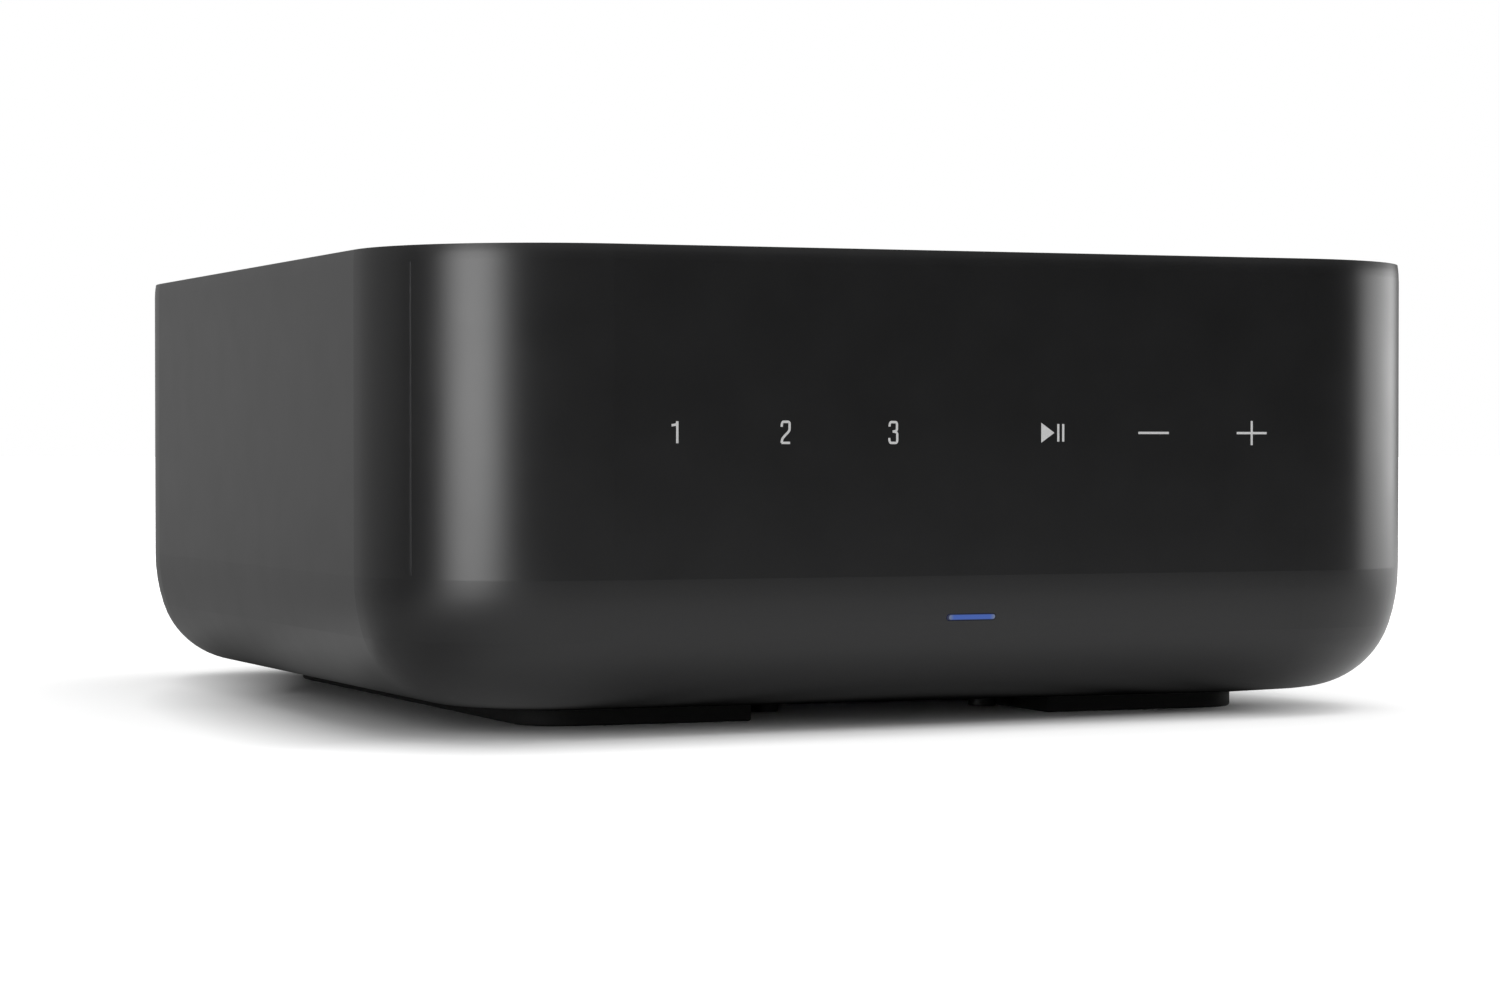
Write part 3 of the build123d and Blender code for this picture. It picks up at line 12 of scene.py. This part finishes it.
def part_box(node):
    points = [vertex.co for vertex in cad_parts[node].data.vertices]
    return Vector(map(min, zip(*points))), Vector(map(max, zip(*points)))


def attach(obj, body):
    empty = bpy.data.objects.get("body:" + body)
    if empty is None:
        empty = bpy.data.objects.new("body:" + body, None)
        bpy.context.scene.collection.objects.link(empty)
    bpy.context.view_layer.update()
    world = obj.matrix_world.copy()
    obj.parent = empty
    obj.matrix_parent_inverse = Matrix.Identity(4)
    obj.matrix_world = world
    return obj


MM = 0.001

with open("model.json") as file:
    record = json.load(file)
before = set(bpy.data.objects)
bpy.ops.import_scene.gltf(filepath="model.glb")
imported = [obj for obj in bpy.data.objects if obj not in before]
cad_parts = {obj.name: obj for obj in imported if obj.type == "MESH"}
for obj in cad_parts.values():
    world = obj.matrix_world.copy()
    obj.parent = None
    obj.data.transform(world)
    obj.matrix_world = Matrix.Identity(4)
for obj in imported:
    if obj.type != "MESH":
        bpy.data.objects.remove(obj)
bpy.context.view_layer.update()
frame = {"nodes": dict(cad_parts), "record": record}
scene = bpy.context.scene
record = frame["record"]


def ink(code):
    """Linear RGBA of an sRGB hex colour."""
    parts = [int(code[n:n + 2], 16) / 255 for n in (1, 3, 5)]
    return tuple(v / 12.92 if v <= 0.04045 else ((v + 0.055) / 1.055) ** 2.4 for v in parts) + (1.0,)


def add(tree, kind, sockets=None, **settings):
    """Adds a node with its settings. A socket gets a value or a link from another node's output."""
    made = tree.nodes.new(kind)
    for name, value in settings.items():
        setattr(made, name, value)
    for key, value in (sockets or {}).items():
        if isinstance(value, bpy.types.NodeSocket):
            tree.links.new(value, made.inputs[key])
        else:
            made.inputs[key].default_value = value
    return made


def bare(name):
    """A new material with an empty node tree."""
    material = bpy.data.materials.new(name)
    material.use_nodes = True
    material.node_tree.nodes.clear()
    return material, material.node_tree


def mix(tree, share, first, second):
    """The colour between two others. A Mix node's colour sockets come after those of its other kinds, so they are
    taken by number."""
    return add(tree, "ShaderNodeMix", {0: share, 6: first, 7: second}, data_type="RGBA").outputs[2]


def looked_at(tree):
    """1 for what the camera, a reflection or a clear piece sees, 0 for the light that falls on the object."""
    ray = add(tree, "ShaderNodeLightPath")
    seen = add(tree, "ShaderNodeMath", {0: ray.outputs["Is Camera Ray"], 1: ray.outputs["Is Glossy Ray"]},
               operation="MAXIMUM")
    return add(tree, "ShaderNodeMath", {0: seen.outputs[0], 1: ray.outputs["Is Transmission Ray"]},
               operation="MAXIMUM").outputs[0]


def finish(name, light, dark, roughness, grain, relief, metallic=0.0, ior=1.5, stretch=(1, 1, 1), patch=14.0,
           spread=0.06):
    """A surface with fine grain. grain and relief are in millimetres, patch is the size of the cloudy colour in
    grains, and spread is how far the roughness varies."""
    material, tree = bare(name)
    place = add(tree, "ShaderNodeTexCoord")
    lie = add(tree, "ShaderNodeMapping", {"Vector": place.outputs["Object"], "Scale": stretch})
    fine = add(tree, "ShaderNodeTexNoise", {"Vector": lie.outputs[0], "Scale": 1 / (grain * MM), "Detail": 3.0})
    cloud = add(tree, "ShaderNodeTexNoise",
                {"Vector": lie.outputs[0], "Scale": 1 / (grain * patch * MM), "Detail": 4.0})
    mixed = add(tree, "ShaderNodeMath", {0: fine.outputs["Fac"], 1: cloud.outputs["Fac"]}, operation="ADD")
    tone = add(tree, "ShaderNodeMapRange", {"Value": mixed.outputs[0], "From Min": 0.7, "From Max": 1.3})
    colour = mix(tree, tone.outputs[0], ink(dark), ink(light))
    gloss = add(tree, "ShaderNodeMapRange", {"Value": cloud.outputs["Fac"], "From Min": 0.3, "From Max": 0.7,
                                             "To Min": roughness - spread, "To Max": roughness + spread})
    bump = add(tree, "ShaderNodeBump", {"Height": fine.outputs["Fac"], "Distance": relief * MM, "Strength": 1.0})
    shader = add(tree, "ShaderNodeBsdfPrincipled", {
        "Base Color": colour, "Roughness": gloss.outputs[0], "Metallic": metallic, "IOR": ior,
        "Normal": bump.outputs[0]})
    add(tree, "ShaderNodeOutputMaterial", {"Surface": shader.outputs[0]})
    return material


# Moulded ABS with a fine spark-eroded grain: satin black that takes long soft highlights.
# The real grain is about 0.1 mm, and is drawn at 0.45 mm so that it shows.
shell_abs = finish("moulded_abs_satin_black", "#181819", "#141415", 0.3, 0.45, 0.0035, patch=30, spread=0.012)
# The parting-line beads are a shade paler than the shell
parting_abs = finish("moulded_abs_parting_line", "#222224", "#1B1B1D", 0.36, 0.3, 0.003, patch=6)
lid_abs = finish("moulded_abs_satin_black_lid", "#181819", "#141415", 0.32, 0.45, 0.0035, patch=30, spread=0.012)
# Moulded EPDM: dull, soft black with a dusty bloom
foot_rubber = finish("moulded_epdm_rubber", "#1A1A1A", "#121212", 0.78, 0.6, 0.02, patch=10)
# Moulded ABS with a coarser grain, so the rear panel is duller than the shell
panel_abs = finish("moulded_abs_grained", "#1A1A1B", "#131314", 0.55, 0.55, 0.012, patch=8)
# Moulded glass-filled nylon: dull black with faint flow marks
black_nylon = finish("moulded_nylon_black", "#18181A", "#101011", 0.46, 0.5, 0.006, stretch=(1, 1, 3), patch=6)
# Moulded polycarbonate caps: deep red and black with a clear gloss
red_cap = finish("moulded_polycarbonate_red", "#B3121B", "#9C0E16", 0.24, 0.5, 0.003, patch=8)
black_cap = finish("moulded_polycarbonate_black", "#161617", "#0F0F10", 0.24, 0.5, 0.003, patch=8)
red_nylon = finish("moulded_nylon_red", "#A3141B", "#8C1016", 0.4, 0.5, 0.006, patch=6)
# Cast acrylic over the lamps: milky white
opal_acrylic = finish("opal_acrylic", "#DADAD8", "#D2D2D0", 0.35, 0.6, 0.002, patch=8)
# Glass-epoxy laminate under green solder mask
board_laminate = finish("solder_mask_laminate", "#1A6238", "#0F4426", 0.38, 1.2, 0.03, patch=4)
# Zinc-plated sheet and screws: pale, slightly blue steel with a cloudy bloom
zinc_steel = finish("zinc_plated_steel", "#B4B8BC", "#9CA0A5", 0.36, 0.5, 0.004, metallic=1.0, patch=12)
# Steel under black powder coat: fine orange peel
black_steel = finish("powder_coated_steel", "#1C1C1D", "#141415", 0.48, 0.8, 0.02, patch=5)
# Gold flash over brass, turned: bright yellow with fine rings
gold_brass = finish("gold_plated_brass", "#F0CC82", "#E2B765", 0.22, 0.3, 0.002, metallic=1.0, stretch=(1, 4, 1))
# Tin-plated steel, folded: bright, slightly cloudy
tin_steel = finish("tin_plated_steel", "#CDCDCB", "#B9B9B7", 0.3, 0.5, 0.003, metallic=1.0, patch=10)
# Extruded aluminium, black anodised: dark metal with lines along the extrusion
heatsink_aluminium = finish("black_anodised_aluminium", "#3A3A3D", "#2C2C2F", 0.42, 0.3, 0.004, metallic=0.9,
                            stretch=(1, 0.1, 1))
thermal_silicone = finish("silicone_pad", "#9A9CA8", "#8C8F9B", 0.7, 0.4, 0.01)
ferrite = finish("sintered_ferrite", "#353537", "#262628", 0.7, 0.5, 0.02)
capacitor_sleeve = finish("shrunk_sleeve", "#1A1A24", "#12121A", 0.32, 0.6, 0.004)
chip_epoxy = finish("moulded_epoxy", "#1D1D1D", "#161616", 0.55, 0.35, 0.01)
lead_pvc = finish("extruded_pvc", "#5A5A5C", "#4E4E50", 0.45, 0.5, 0.005)
flex_polyimide = finish("polyimide_film", "#B4701E", "#9A5C14", 0.3, 0.5, 0.002)
film_box = finish("potted_film_box", "#A93A22", "#96301B", 0.35, 0.5, 0.005)
fuse_glass = finish("fuse_glass", "#D4DADD", "#C6CDD0", 0.12, 0.5, 0.001)

# Cast acrylic light bar, lit blue from behind. Its rim is dark navy, where the light is held in, and the ends of
# the lit line are paler.
bar_z = sum(corner.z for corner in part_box("status_light_pipe")) / 2
bar_x = 0.2 * MM
bar_half = 4.3 * MM
core_radius = 0.36 * MM
rim_radius = 0.52 * MM
ends_from, ends_to = 3.7 * MM, 4.6 * MM
light_bar, tree = bare("lit_blue_acrylic")
place = add(tree, "ShaderNodeTexCoord")
from_middle = add(tree, "ShaderNodeVectorMath", {0: place.outputs["Object"], 1: (bar_x, 0, bar_z)},
                  operation="SUBTRACT")
from_middle = add(tree, "ShaderNodeVectorMath", {0: from_middle.outputs[0]}, operation="ABSOLUTE")
past = add(tree, "ShaderNodeVectorMath", {0: from_middle.outputs[0], 1: (bar_half, 1, 0)}, operation="SUBTRACT")
past = add(tree, "ShaderNodeVectorMath", {0: past.outputs[0], 1: (0, 0, 0)}, operation="MAXIMUM")
away = add(tree, "ShaderNodeVectorMath", {0: past.outputs[0]}, operation="LENGTH")
rim = add(tree, "ShaderNodeMapRange", {"Value": away.outputs["Value"], "From Min": core_radius,
                                       "From Max": rim_radius})
axes = add(tree, "ShaderNodeSeparateXYZ", {"Vector": from_middle.outputs[0]})
end = add(tree, "ShaderNodeMapRange", {"Value": axes.outputs["X"], "From Min": ends_from, "From Max": ends_to})
lit = mix(tree, end.outputs[0], ink("#31529D"), ink("#616C81"))
glow = mix(tree, rim.outputs[0], lit, ink("#060F2A"))
shader = add(tree, "ShaderNodeBsdfPrincipled", {
    "Base Color": ink("#0E1638"), "Roughness": 0.25, "IOR": 1.49, "Emission Color": glow,
    "Emission Strength": 1.0})
add(tree, "ShaderNodeOutputMaterial", {"Surface": shader.outputs[0]})

# Screen-printed ink with a faint painted glow: pale grey signs, lighter than the light on the front makes them
sign_ink_painted_glow, tree = bare("screen_printed_ink_painted_glow")
place = add(tree, "ShaderNodeTexCoord")
speck = add(tree, "ShaderNodeTexNoise", {"Vector": place.outputs["Object"], "Scale": 1 / (0.5 * MM), "Detail": 2.0})
tone = mix(tree, speck.outputs["Fac"], ink("#B4B4B4"), ink("#C6C6C6"))
# The emission is a painted glow: the ink is no lamp
shader = add(tree, "ShaderNodeBsdfPrincipled", {
    "Base Color": tone, "Roughness": 0.5, "Emission Color": tone, "Emission Strength": 0.35})
add(tree, "ShaderNodeOutputMaterial", {"Surface": shader.outputs[0]})

finishes = {
    "shell_abs": shell_abs, "lid_abs": lid_abs, "foot_rubber": foot_rubber, "panel_abs": panel_abs,
    "black_nylon": black_nylon, "red_nylon": red_nylon, "red_cap": red_cap, "black_cap": black_cap,
    "light_pipe_acrylic": light_bar, "diffuser_acrylic": opal_acrylic, "board_laminate": board_laminate,
    "zinc_steel": zinc_steel, "black_steel": black_steel, "gold_brass": gold_brass, "tin_steel": tin_steel,
    "heatsink_aluminium": heatsink_aluminium, "thermal_silicone": thermal_silicone, "ferrite": ferrite,
    "capacitor_sleeve": capacitor_sleeve, "chip_epoxy": chip_epoxy, "lead_pvc": lead_pvc,
    "flex_polyimide": flex_polyimide, "film_box": film_box, "fuse_glass": fuse_glass,
}
slot_of = {part["node"]: part["material_slot"] for part in record["subparts"]}
for node, piece in frame["nodes"].items():
    piece.data.materials.clear()
    piece.data.materials.append(finishes[slot_of[node]])


def piece_of(mesh, name, material):
    """A piece that rides on the fixed body."""
    mesh.name = name
    mesh.materials.clear()
    mesh.materials.append(material)
    piece = bpy.data.objects.new(name, mesh)
    scene.collection.objects.link(piece)
    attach(piece, "root")
    return piece


def stroked(name, strokes, width, place, material=sign_ink_painted_glow):
    """Flat lettering from strokes in millimetres, x and z from the sign's centre. A stroke of 3 or more points is
    a smooth curve."""
    curve = bpy.data.curves.new(name, "CURVE")
    curve.dimensions = "3D"
    curve.bevel_depth = width / 2 * MM
    curve.bevel_resolution = 3
    curve.use_fill_caps = True
    curve.resolution_u = 8
    for points in strokes:
        smooth = len(points) > 2
        line = curve.splines.new("NURBS" if smooth else "POLY")
        line.points.add(len(points) - 1)
        for point, (x, z) in zip(line.points, points):
            point.co = (x * MM, 0, z * MM, 1)
        if smooth:
            line.use_endpoint_u = True
            line.order_u = 3
    drawn = bpy.data.objects.new(name + "_drawn", curve)
    scene.collection.objects.link(drawn)
    mesh = bpy.data.meshes.new_from_object(drawn.evaluated_get(bpy.context.evaluated_depsgraph_get()))
    bpy.data.objects.remove(drawn)
    bpy.data.curves.remove(curve)
    mesh.transform(place @ Matrix.Diagonal((1, 0.1, 1, 1)))
    return piece_of(mesh, name, material)


# Touch signs, flush on the flat front
front_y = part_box("main_shell")[0].y
sign_z = 55.05 * MM
sign_width = 0.46
play_x = 16.39
bar_far = 2.3
sign_strokes = {
    "sign_one": (-59.39, [[(0.45, -1.98), (0.45, 1.95)], [(-0.66, 1.25), (0.0, 1.3), (0.4, 1.5), (0.43, 1.97)]]),
    "sign_two": (-37.8, [[(-0.78, 1.0), (-0.78, 1.92), (0.0, 1.92), (0.78, 1.92), (0.78, 1.0), (0.76, 0.25),
                          (-0.3, -0.72), (-0.76, -1.3), (-0.78, -1.92)], [(-0.82, -1.92), (0.86, -1.92)]]),
    "sign_three": (-16.3, [[(-0.76, 1.1), (-0.74, 1.92), (0.0, 1.92), (0.74, 1.92), (0.74, 1.1), (0.72, 0.2),
                            (-0.15, 0.18)],
                           [(-0.15, 0.18), (0.8, 0.18), (0.8, -0.85), (0.8, -1.92), (0.0, -1.92), (-0.8, -1.92),
                            (-0.8, -1.0)]]),
    "sign_pause": (play_x, [[(1.27, -1.65), (1.27, 1.65)], [(bar_far, -1.65), (bar_far, 1.65)]]),
    "sign_minus": (37.85, [[(-3.27, 0), (3.27, 0)]]),
    "sign_plus": (59.1, [[(-3.27, 0), (3.27, 0)], [(0, -2.32), (0, 2.32)]]),
}
for name, (x, strokes) in sign_strokes.items():
    stroked(name, strokes, sign_width, Matrix.Translation((x * MM, front_y, sign_z)))

# Plus and minus under the speaker posts, pad-printed on the rear panel
print_half = 1.1
print_width = 0.4
print_drop = 10.2 * MM
printed_ink = finish("pad_printed_ink", "#C2C2C2", "#AEAEAE", 0.5, 0.4, 0.002, patch=6)
rear_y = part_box("rear_panel")[1].y
for post in range(1, 5):
    low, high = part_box(f"post_cap_{post}")
    plus = [[(0, -print_half), (0, print_half)]] if post % 2 else []
    stroked(f"print_post_{post}", [[(-print_half, 0), (print_half, 0)]] + plus, print_width,
            Matrix.Translation(((low.x + high.x) / 2, rear_y, (low.z + high.z) / 2 - print_drop)),
            material=printed_ink)

# Play arrow: a triangle left of the pause bars, sunk a little so that only the print's thickness shows
arrow_width, arrow_height = 2.75 * MM, 3.75 * MM
arrow_depth, arrow_proud = 0.03 * MM, 0.02 * MM
arrow = bmesh.new()
corners = bmesh.ops.create_circle(arrow, segments=3, radius=1.0, cap_ends=True)["verts"]
bmesh.ops.rotate(arrow, verts=corners, matrix=Matrix.Rotation(radians(90), 3, "X"))
bmesh.ops.rotate(arrow, verts=corners, matrix=Matrix.Rotation(radians(90), 3, "Y"))
low = min(v.co.x for v in corners), min(v.co.z for v in corners)
size = max(v.co.x for v in corners) - low[0], max(v.co.z for v in corners) - low[1]
bmesh.ops.scale(arrow, verts=corners, vec=(arrow_width / size[0], 1, arrow_height / size[1]))
raised = bmesh.ops.extrude_face_region(arrow, geom=arrow.faces[:])["geom"]
bmesh.ops.translate(arrow, verts=[g for g in raised if isinstance(g, bmesh.types.BMVert)], vec=(0, arrow_depth, 0))
low_x = min(v.co.x for v in arrow.verts)
bmesh.ops.translate(arrow, verts=arrow.verts,
                    vec=((play_x - bar_far) * MM - low_x, front_y - arrow_proud, sign_z))
bmesh.ops.recalc_face_normals(arrow, faces=arrow.faces)
mesh = bpy.data.meshes.new("sign_play")
arrow.to_mesh(mesh)
arrow.free()
piece_of(mesh, "sign_play", sign_ink_painted_glow)

# Parting lines of the mould, a fine raised bead a third of the way round each front corner, in millimetres
corner_radius = 37.6
corner_x = 70.9
corner_y = -83.35
bead_turn = radians(30.3)
bead_size = (0.12, 0.45, 56.5)
bead_edge = 0.03
bead_sink = 0.035
bead_z = 57.5
for side, name in ((-1, "parting_line_left"), (1, "parting_line_right")):
    bead = bmesh.new()
    bmesh.ops.create_cube(bead, size=1.0)
    bmesh.ops.scale(bead, verts=bead.verts, vec=[v * MM for v in bead_size])
    bmesh.ops.bevel(bead, geom=[e for e in bead.edges if abs(e.verts[0].co.z - e.verts[1].co.z) > MM],
                    offset=bead_edge * MM, segments=2, profile=0.5, affect="EDGES", material=-1)
    bmesh.ops.rotate(bead, verts=bead.verts, matrix=Matrix.Rotation(side * -bead_turn, 3, "Z"))
    out = corner_radius - bead_sink
    centre = (side * (corner_x + out * cos(bead_turn)), corner_y - out * sin(bead_turn), bead_z)
    bmesh.ops.translate(bead, verts=bead.verts, vec=[v * MM for v in centre])
    mesh = bpy.data.meshes.new(name)
    bead.to_mesh(mesh)
    bead.free()
    piece_of(mesh, name, parting_abs)


def turned(azimuth, height, distance):
    """A point round the object: azimuth from the front towards the right, height in metres."""
    a = radians(azimuth)
    return Vector((sin(a) * distance, -cos(a) * distance, height))


def swept(name, profile, cuts, start, turn, steps, attribute, level):
    """A sheet swept round the object from a line of (distance, height) points, each run of it cut evenly. The
    attribute holds the level of each place, from its azimuth, height and distance."""
    sheet = bmesh.new()
    for ends, count in zip(zip(profile, profile[1:]), cuts):
        spots = [sheet.verts.new(turned(start, height, distance)) for distance, height in ends]
        bmesh.ops.subdivide_edges(sheet, edges=[sheet.edges.new(spots)], cuts=count)
    bmesh.ops.spin(sheet, geom=sheet.verts[:] + sheet.edges[:], cent=(0, 0, 0), axis=(0, 0, 1), angle=radians(turn),
                   steps=steps, use_merge=turn == 360)
    bmesh.ops.remove_doubles(sheet, verts=sheet.verts, dist=0.1 * MM)
    mesh = bpy.data.meshes.new(name)
    sheet.to_mesh(mesh)
    sheet.free()
    levels = mesh.attributes.new(attribute, "FLOAT", "POINT")
    for datum, corner in zip(levels.data, mesh.vertices):
        x, y, z = corner.co
        datum.value = level(degrees(atan2(x, -y)), z, hypot(x, y))
    made = bpy.data.objects.new(name, mesh)
    scene.collection.objects.link(made)
    return made


def rise(value, low, high):
    """0 below low and 1 above high, smooth between."""
    t = min(max((value - low) / (high - low), 0), 1)
    return t * t * (3 - 2 * t)


# Outline of the dark part of the shadow, read from the photograph: it leans to the front left. Outside it a painted
# lift of light clears the floor, so the shadow takes this drawn shape
painted_shadow_edge = [Vector(spot) for spot in (
    (0.064, -0.094), (-0.095, -0.121), (-0.108, -0.105), (-0.106, -0.05), (-0.102, -0.01), (-0.094, 0.02),
    (-0.082, 0.05), (-0.071, 0.085), (-0.06, 0.1), (0.036, 0.11), (0.071, -0.083))]


def beyond_painted_shadow(azimuth, height, distance):
    """Distance of a place on the floor outside the painted shadow's outline, 0 inside."""
    spot = turned(azimuth, height, distance).xy
    nearest, inside = 1e9, True
    for start, end in zip(painted_shadow_edge, painted_shadow_edge[1:] + painted_shadow_edge[:1]):
        along, to = end - start, spot - start
        if along.x * to.y - along.y * to.x > 0:
            inside = False
        share = min(max(along.dot(to) / along.length_squared, 0), 1)
        nearest = min(nearest, (to - along * share).length)
    return 0.0 if inside else nearest


# Floor: white paper. Its own colour carries the shadow. Where the camera and the reflections see it, a painted lift
# of light is added outside the shadow's outline, which clears the shadow there, and more with distance, so that it
# runs into the background.
paper, tree = bare("white_paper")
reach = add(tree, "ShaderNodeAttribute", attribute_name="beyond_painted_shadow")
# Painted light: lifts the floor towards white within 30 mm outside the shadow's outline
near = add(tree, "ShaderNodeMapRange", {"Value": reach.outputs["Fac"], "From Min": 0.0, "From Max": 0.03,
                                        "To Min": 0.0, "To Max": 0.5})
far = add(tree, "ShaderNodeMapRange", {"Value": reach.outputs["Fac"], "From Min": 0.15, "From Max": 0.8,
                                       "To Min": 0.0, "To Max": 0.5})
painted_lift = add(tree, "ShaderNodeMath", {0: near.outputs[0], 1: far.outputs[0]}, operation="ADD")
painted_lift = add(tree, "ShaderNodeMath", {0: looked_at(tree), 1: painted_lift.outputs[0]}, operation="MULTIPLY")
white = add(tree, "ShaderNodeEmission", {"Color": (1, 1, 1, 1), "Strength": painted_lift.outputs[0]})
matt = add(tree, "ShaderNodeBsdfDiffuse", {"Color": ink("#F2F2F2"), "Roughness": 0.5})
both = add(tree, "ShaderNodeAddShader", {0: matt.outputs[0], 1: white.outputs[0]})
add(tree, "ShaderNodeOutputMaterial", {"Surface": both.outputs[0]})

# It lies a hair under the soles, so that no two faces lie in one plane
floor = swept("floor", [(reach, -0.02 * MM) for reach in (0, 0.3, 1.1, 20)], [59, 15, 3], 0, 360, 120,
              "beyond_painted_shadow", beyond_painted_shadow)
floor.data.materials.append(paper)

# World: soft fill on the object, white where the camera, a reflection or a clear piece looks into it
world = bpy.data.worlds.new("studio")
scene.world = world
world.use_nodes = True
tree = world.node_tree
tree.nodes.clear()
fill = add(tree, "ShaderNodeBackground", {"Color": (1, 1, 1, 1), "Strength": 0.45})
white = add(tree, "ShaderNodeBackground", {"Color": (1, 1, 1, 1), "Strength": 1.0})
sky = add(tree, "ShaderNodeMixShader", {0: looked_at(tree), 1: fill.outputs[0], 2: white.outputs[0]})
add(tree, "ShaderNodeOutputWorld", {"Surface": sky.outputs[0]})


def softbox(name, point, width, height, radiance):
    """An area lamp of even radiance that faces the object, as a white panel of that strength would."""
    lamp = bpy.data.lights.new(name, "AREA")
    lamp.shape = "RECTANGLE"
    lamp.size, lamp.size_y = width, height
    lamp.energy = radiance * width * height * pi
    box = bpy.data.objects.new(name, lamp)
    scene.collection.objects.link(box)
    box.location = point
    box.rotation_euler = (Vector((0, 0, 0.05)) - Vector(point)).to_track_quat("-Z", "Y").to_euler()
    box.visible_camera = False


softbox("softbox_top", (0.45, 0.35, 1.4), 1.8, 1.8, 1.75)


def within(azimuth, start, end, soft):
    """1 between two azimuths, falling to 0 over soft degrees each side."""
    off = abs((azimuth - (start + end) / 2 + 180) % 360 - 180)
    return 1 - rise(off, (end - start) / 2 - soft, (end - start) / 2 + soft)


def screen(name, profile, cuts, start, turn, shade):
    """A sheet that only reflections meet, like the dark and pale sides of a studio."""
    tone, tree = bare(name + "_cloth")
    level = add(tree, "ShaderNodeAttribute", attribute_name="shade")
    glow = add(tree, "ShaderNodeEmission", {"Color": (1, 1, 1, 1), "Strength": level.outputs["Fac"]})
    add(tree, "ShaderNodeOutputMaterial", {"Surface": glow.outputs[0]})
    made = swept(name, profile, cuts, start, turn, turn // 2, "shade", shade)
    made.data.materials.append(tone)
    for ray in ("camera", "diffuse", "shadow", "transmission", "volume_scatter"):
        setattr(made, "visible_" + ray, False)


def towards(base, value, share):
    """From a base level to another by a share of 0 to 1."""
    return base + (value - base) * share


def wall_shade(azimuth, height, distance):
    """Level of the studio's sides: white high up, and cloths and a panel lower down."""
    low, tall = 1 - rise(height, 0.5, 0.75), 1 - rise(height, 1.2, 1.5)
    shade = 1.0
    for level, start, end, soft, share in (
            (0.14, -106, 25, 4, low),                           # black cloth from the left round to the front
            (0.04, 18, 70, 4, low),                             # blacker cloth at the front right
            (0.4, 70, 118, 4, tall),                            # grey cloth at the right
            (3.5, 73, 118, 5, 1 - rise(height, 0.15, 0.35)),    # low bright panel at the right
            (0.22, 118, 172, 6, tall),                          # dark grey cloth at the rear right
            (0.43, -190, -104, 3, tall)):                       # grey cloth behind and at the left
        shade = towards(shade, level, within(azimuth, start, end, soft) * share)
    return shade


def painted_floor_reflection(azimuth, height, reach):
    """Level of the table top as reflections meet it, all painted: a painted shadow under the body, a painted tone
    towards each side, and a painted pool of light from the panel.
    """
    spot = turned(azimuth, height, reach)
    past = Vector((max(abs(spot.x) - 0.053, 0), max(abs(spot.y) - 0.07, 0)))
    front = towards(0.3, 0.9, rise(azimuth, -62, -30))
    shade = 1.0
    for level, start, end, soft in (
            (towards(front, 0.1, rise(reach, 0.05, 0.8)), -76, 70, 8),       # in front
            (towards(0.5, 0.1, rise(reach, 0.05, 0.4)), -110, -68, 8),       # at the left
            (towards(0.34, 0.38, rise(reach, 0.05, 1.7)), -190, -104, 8),    # behind on the left
            (towards(0.3, 6.9, rise(reach, 0.12, 0.66)), -65, -46, 7)):      # lit by the panel at the front left
        shade = towards(shade, level, within(azimuth, start, end, soft))
    # Painted shadow: dark under the body, clearing from 30 to 66 mm beyond the body's box
    return shade * rise(past.length, 0.03, 0.066)


def panel_shade(azimuth, height, distance):
    """Level of a low lit panel at the front left, between dark flags: the long highlight down the left corner."""
    return towards(0.12, 6.9, within(azimuth, -68, -44, 8) * (1 - rise(height, 0.18, 0.28)))


screen("reflected_wall", [(1.7, 0), (1.7, 1.5)], [29], 0, 360, wall_shade)
screen("reflected_floor", [(0.05, MM), (0.25, MM), (1.7, MM)], [19, 28], 0, 360, painted_floor_reflection)
screen("reflected_panel", [(0.62, 0), (0.62, 0.28)], [13], -76, 40, panel_shade)

# Camera at the photograph's place, worked out from the outlines
camera = bpy.data.objects.new("camera", bpy.data.cameras.new("camera"))
scene.collection.objects.link(camera)
camera.location = (-0.2995, -0.7499, 0.0523)
camera.rotation_euler = (radians(90 - 0.806), 0, radians(-22.045))
camera.data.lens = 89.69
camera.data.sensor_width = 36.0
camera.data.clip_start = 0.02
scene.camera = camera
scene.view_settings.view_transform = "Standard"
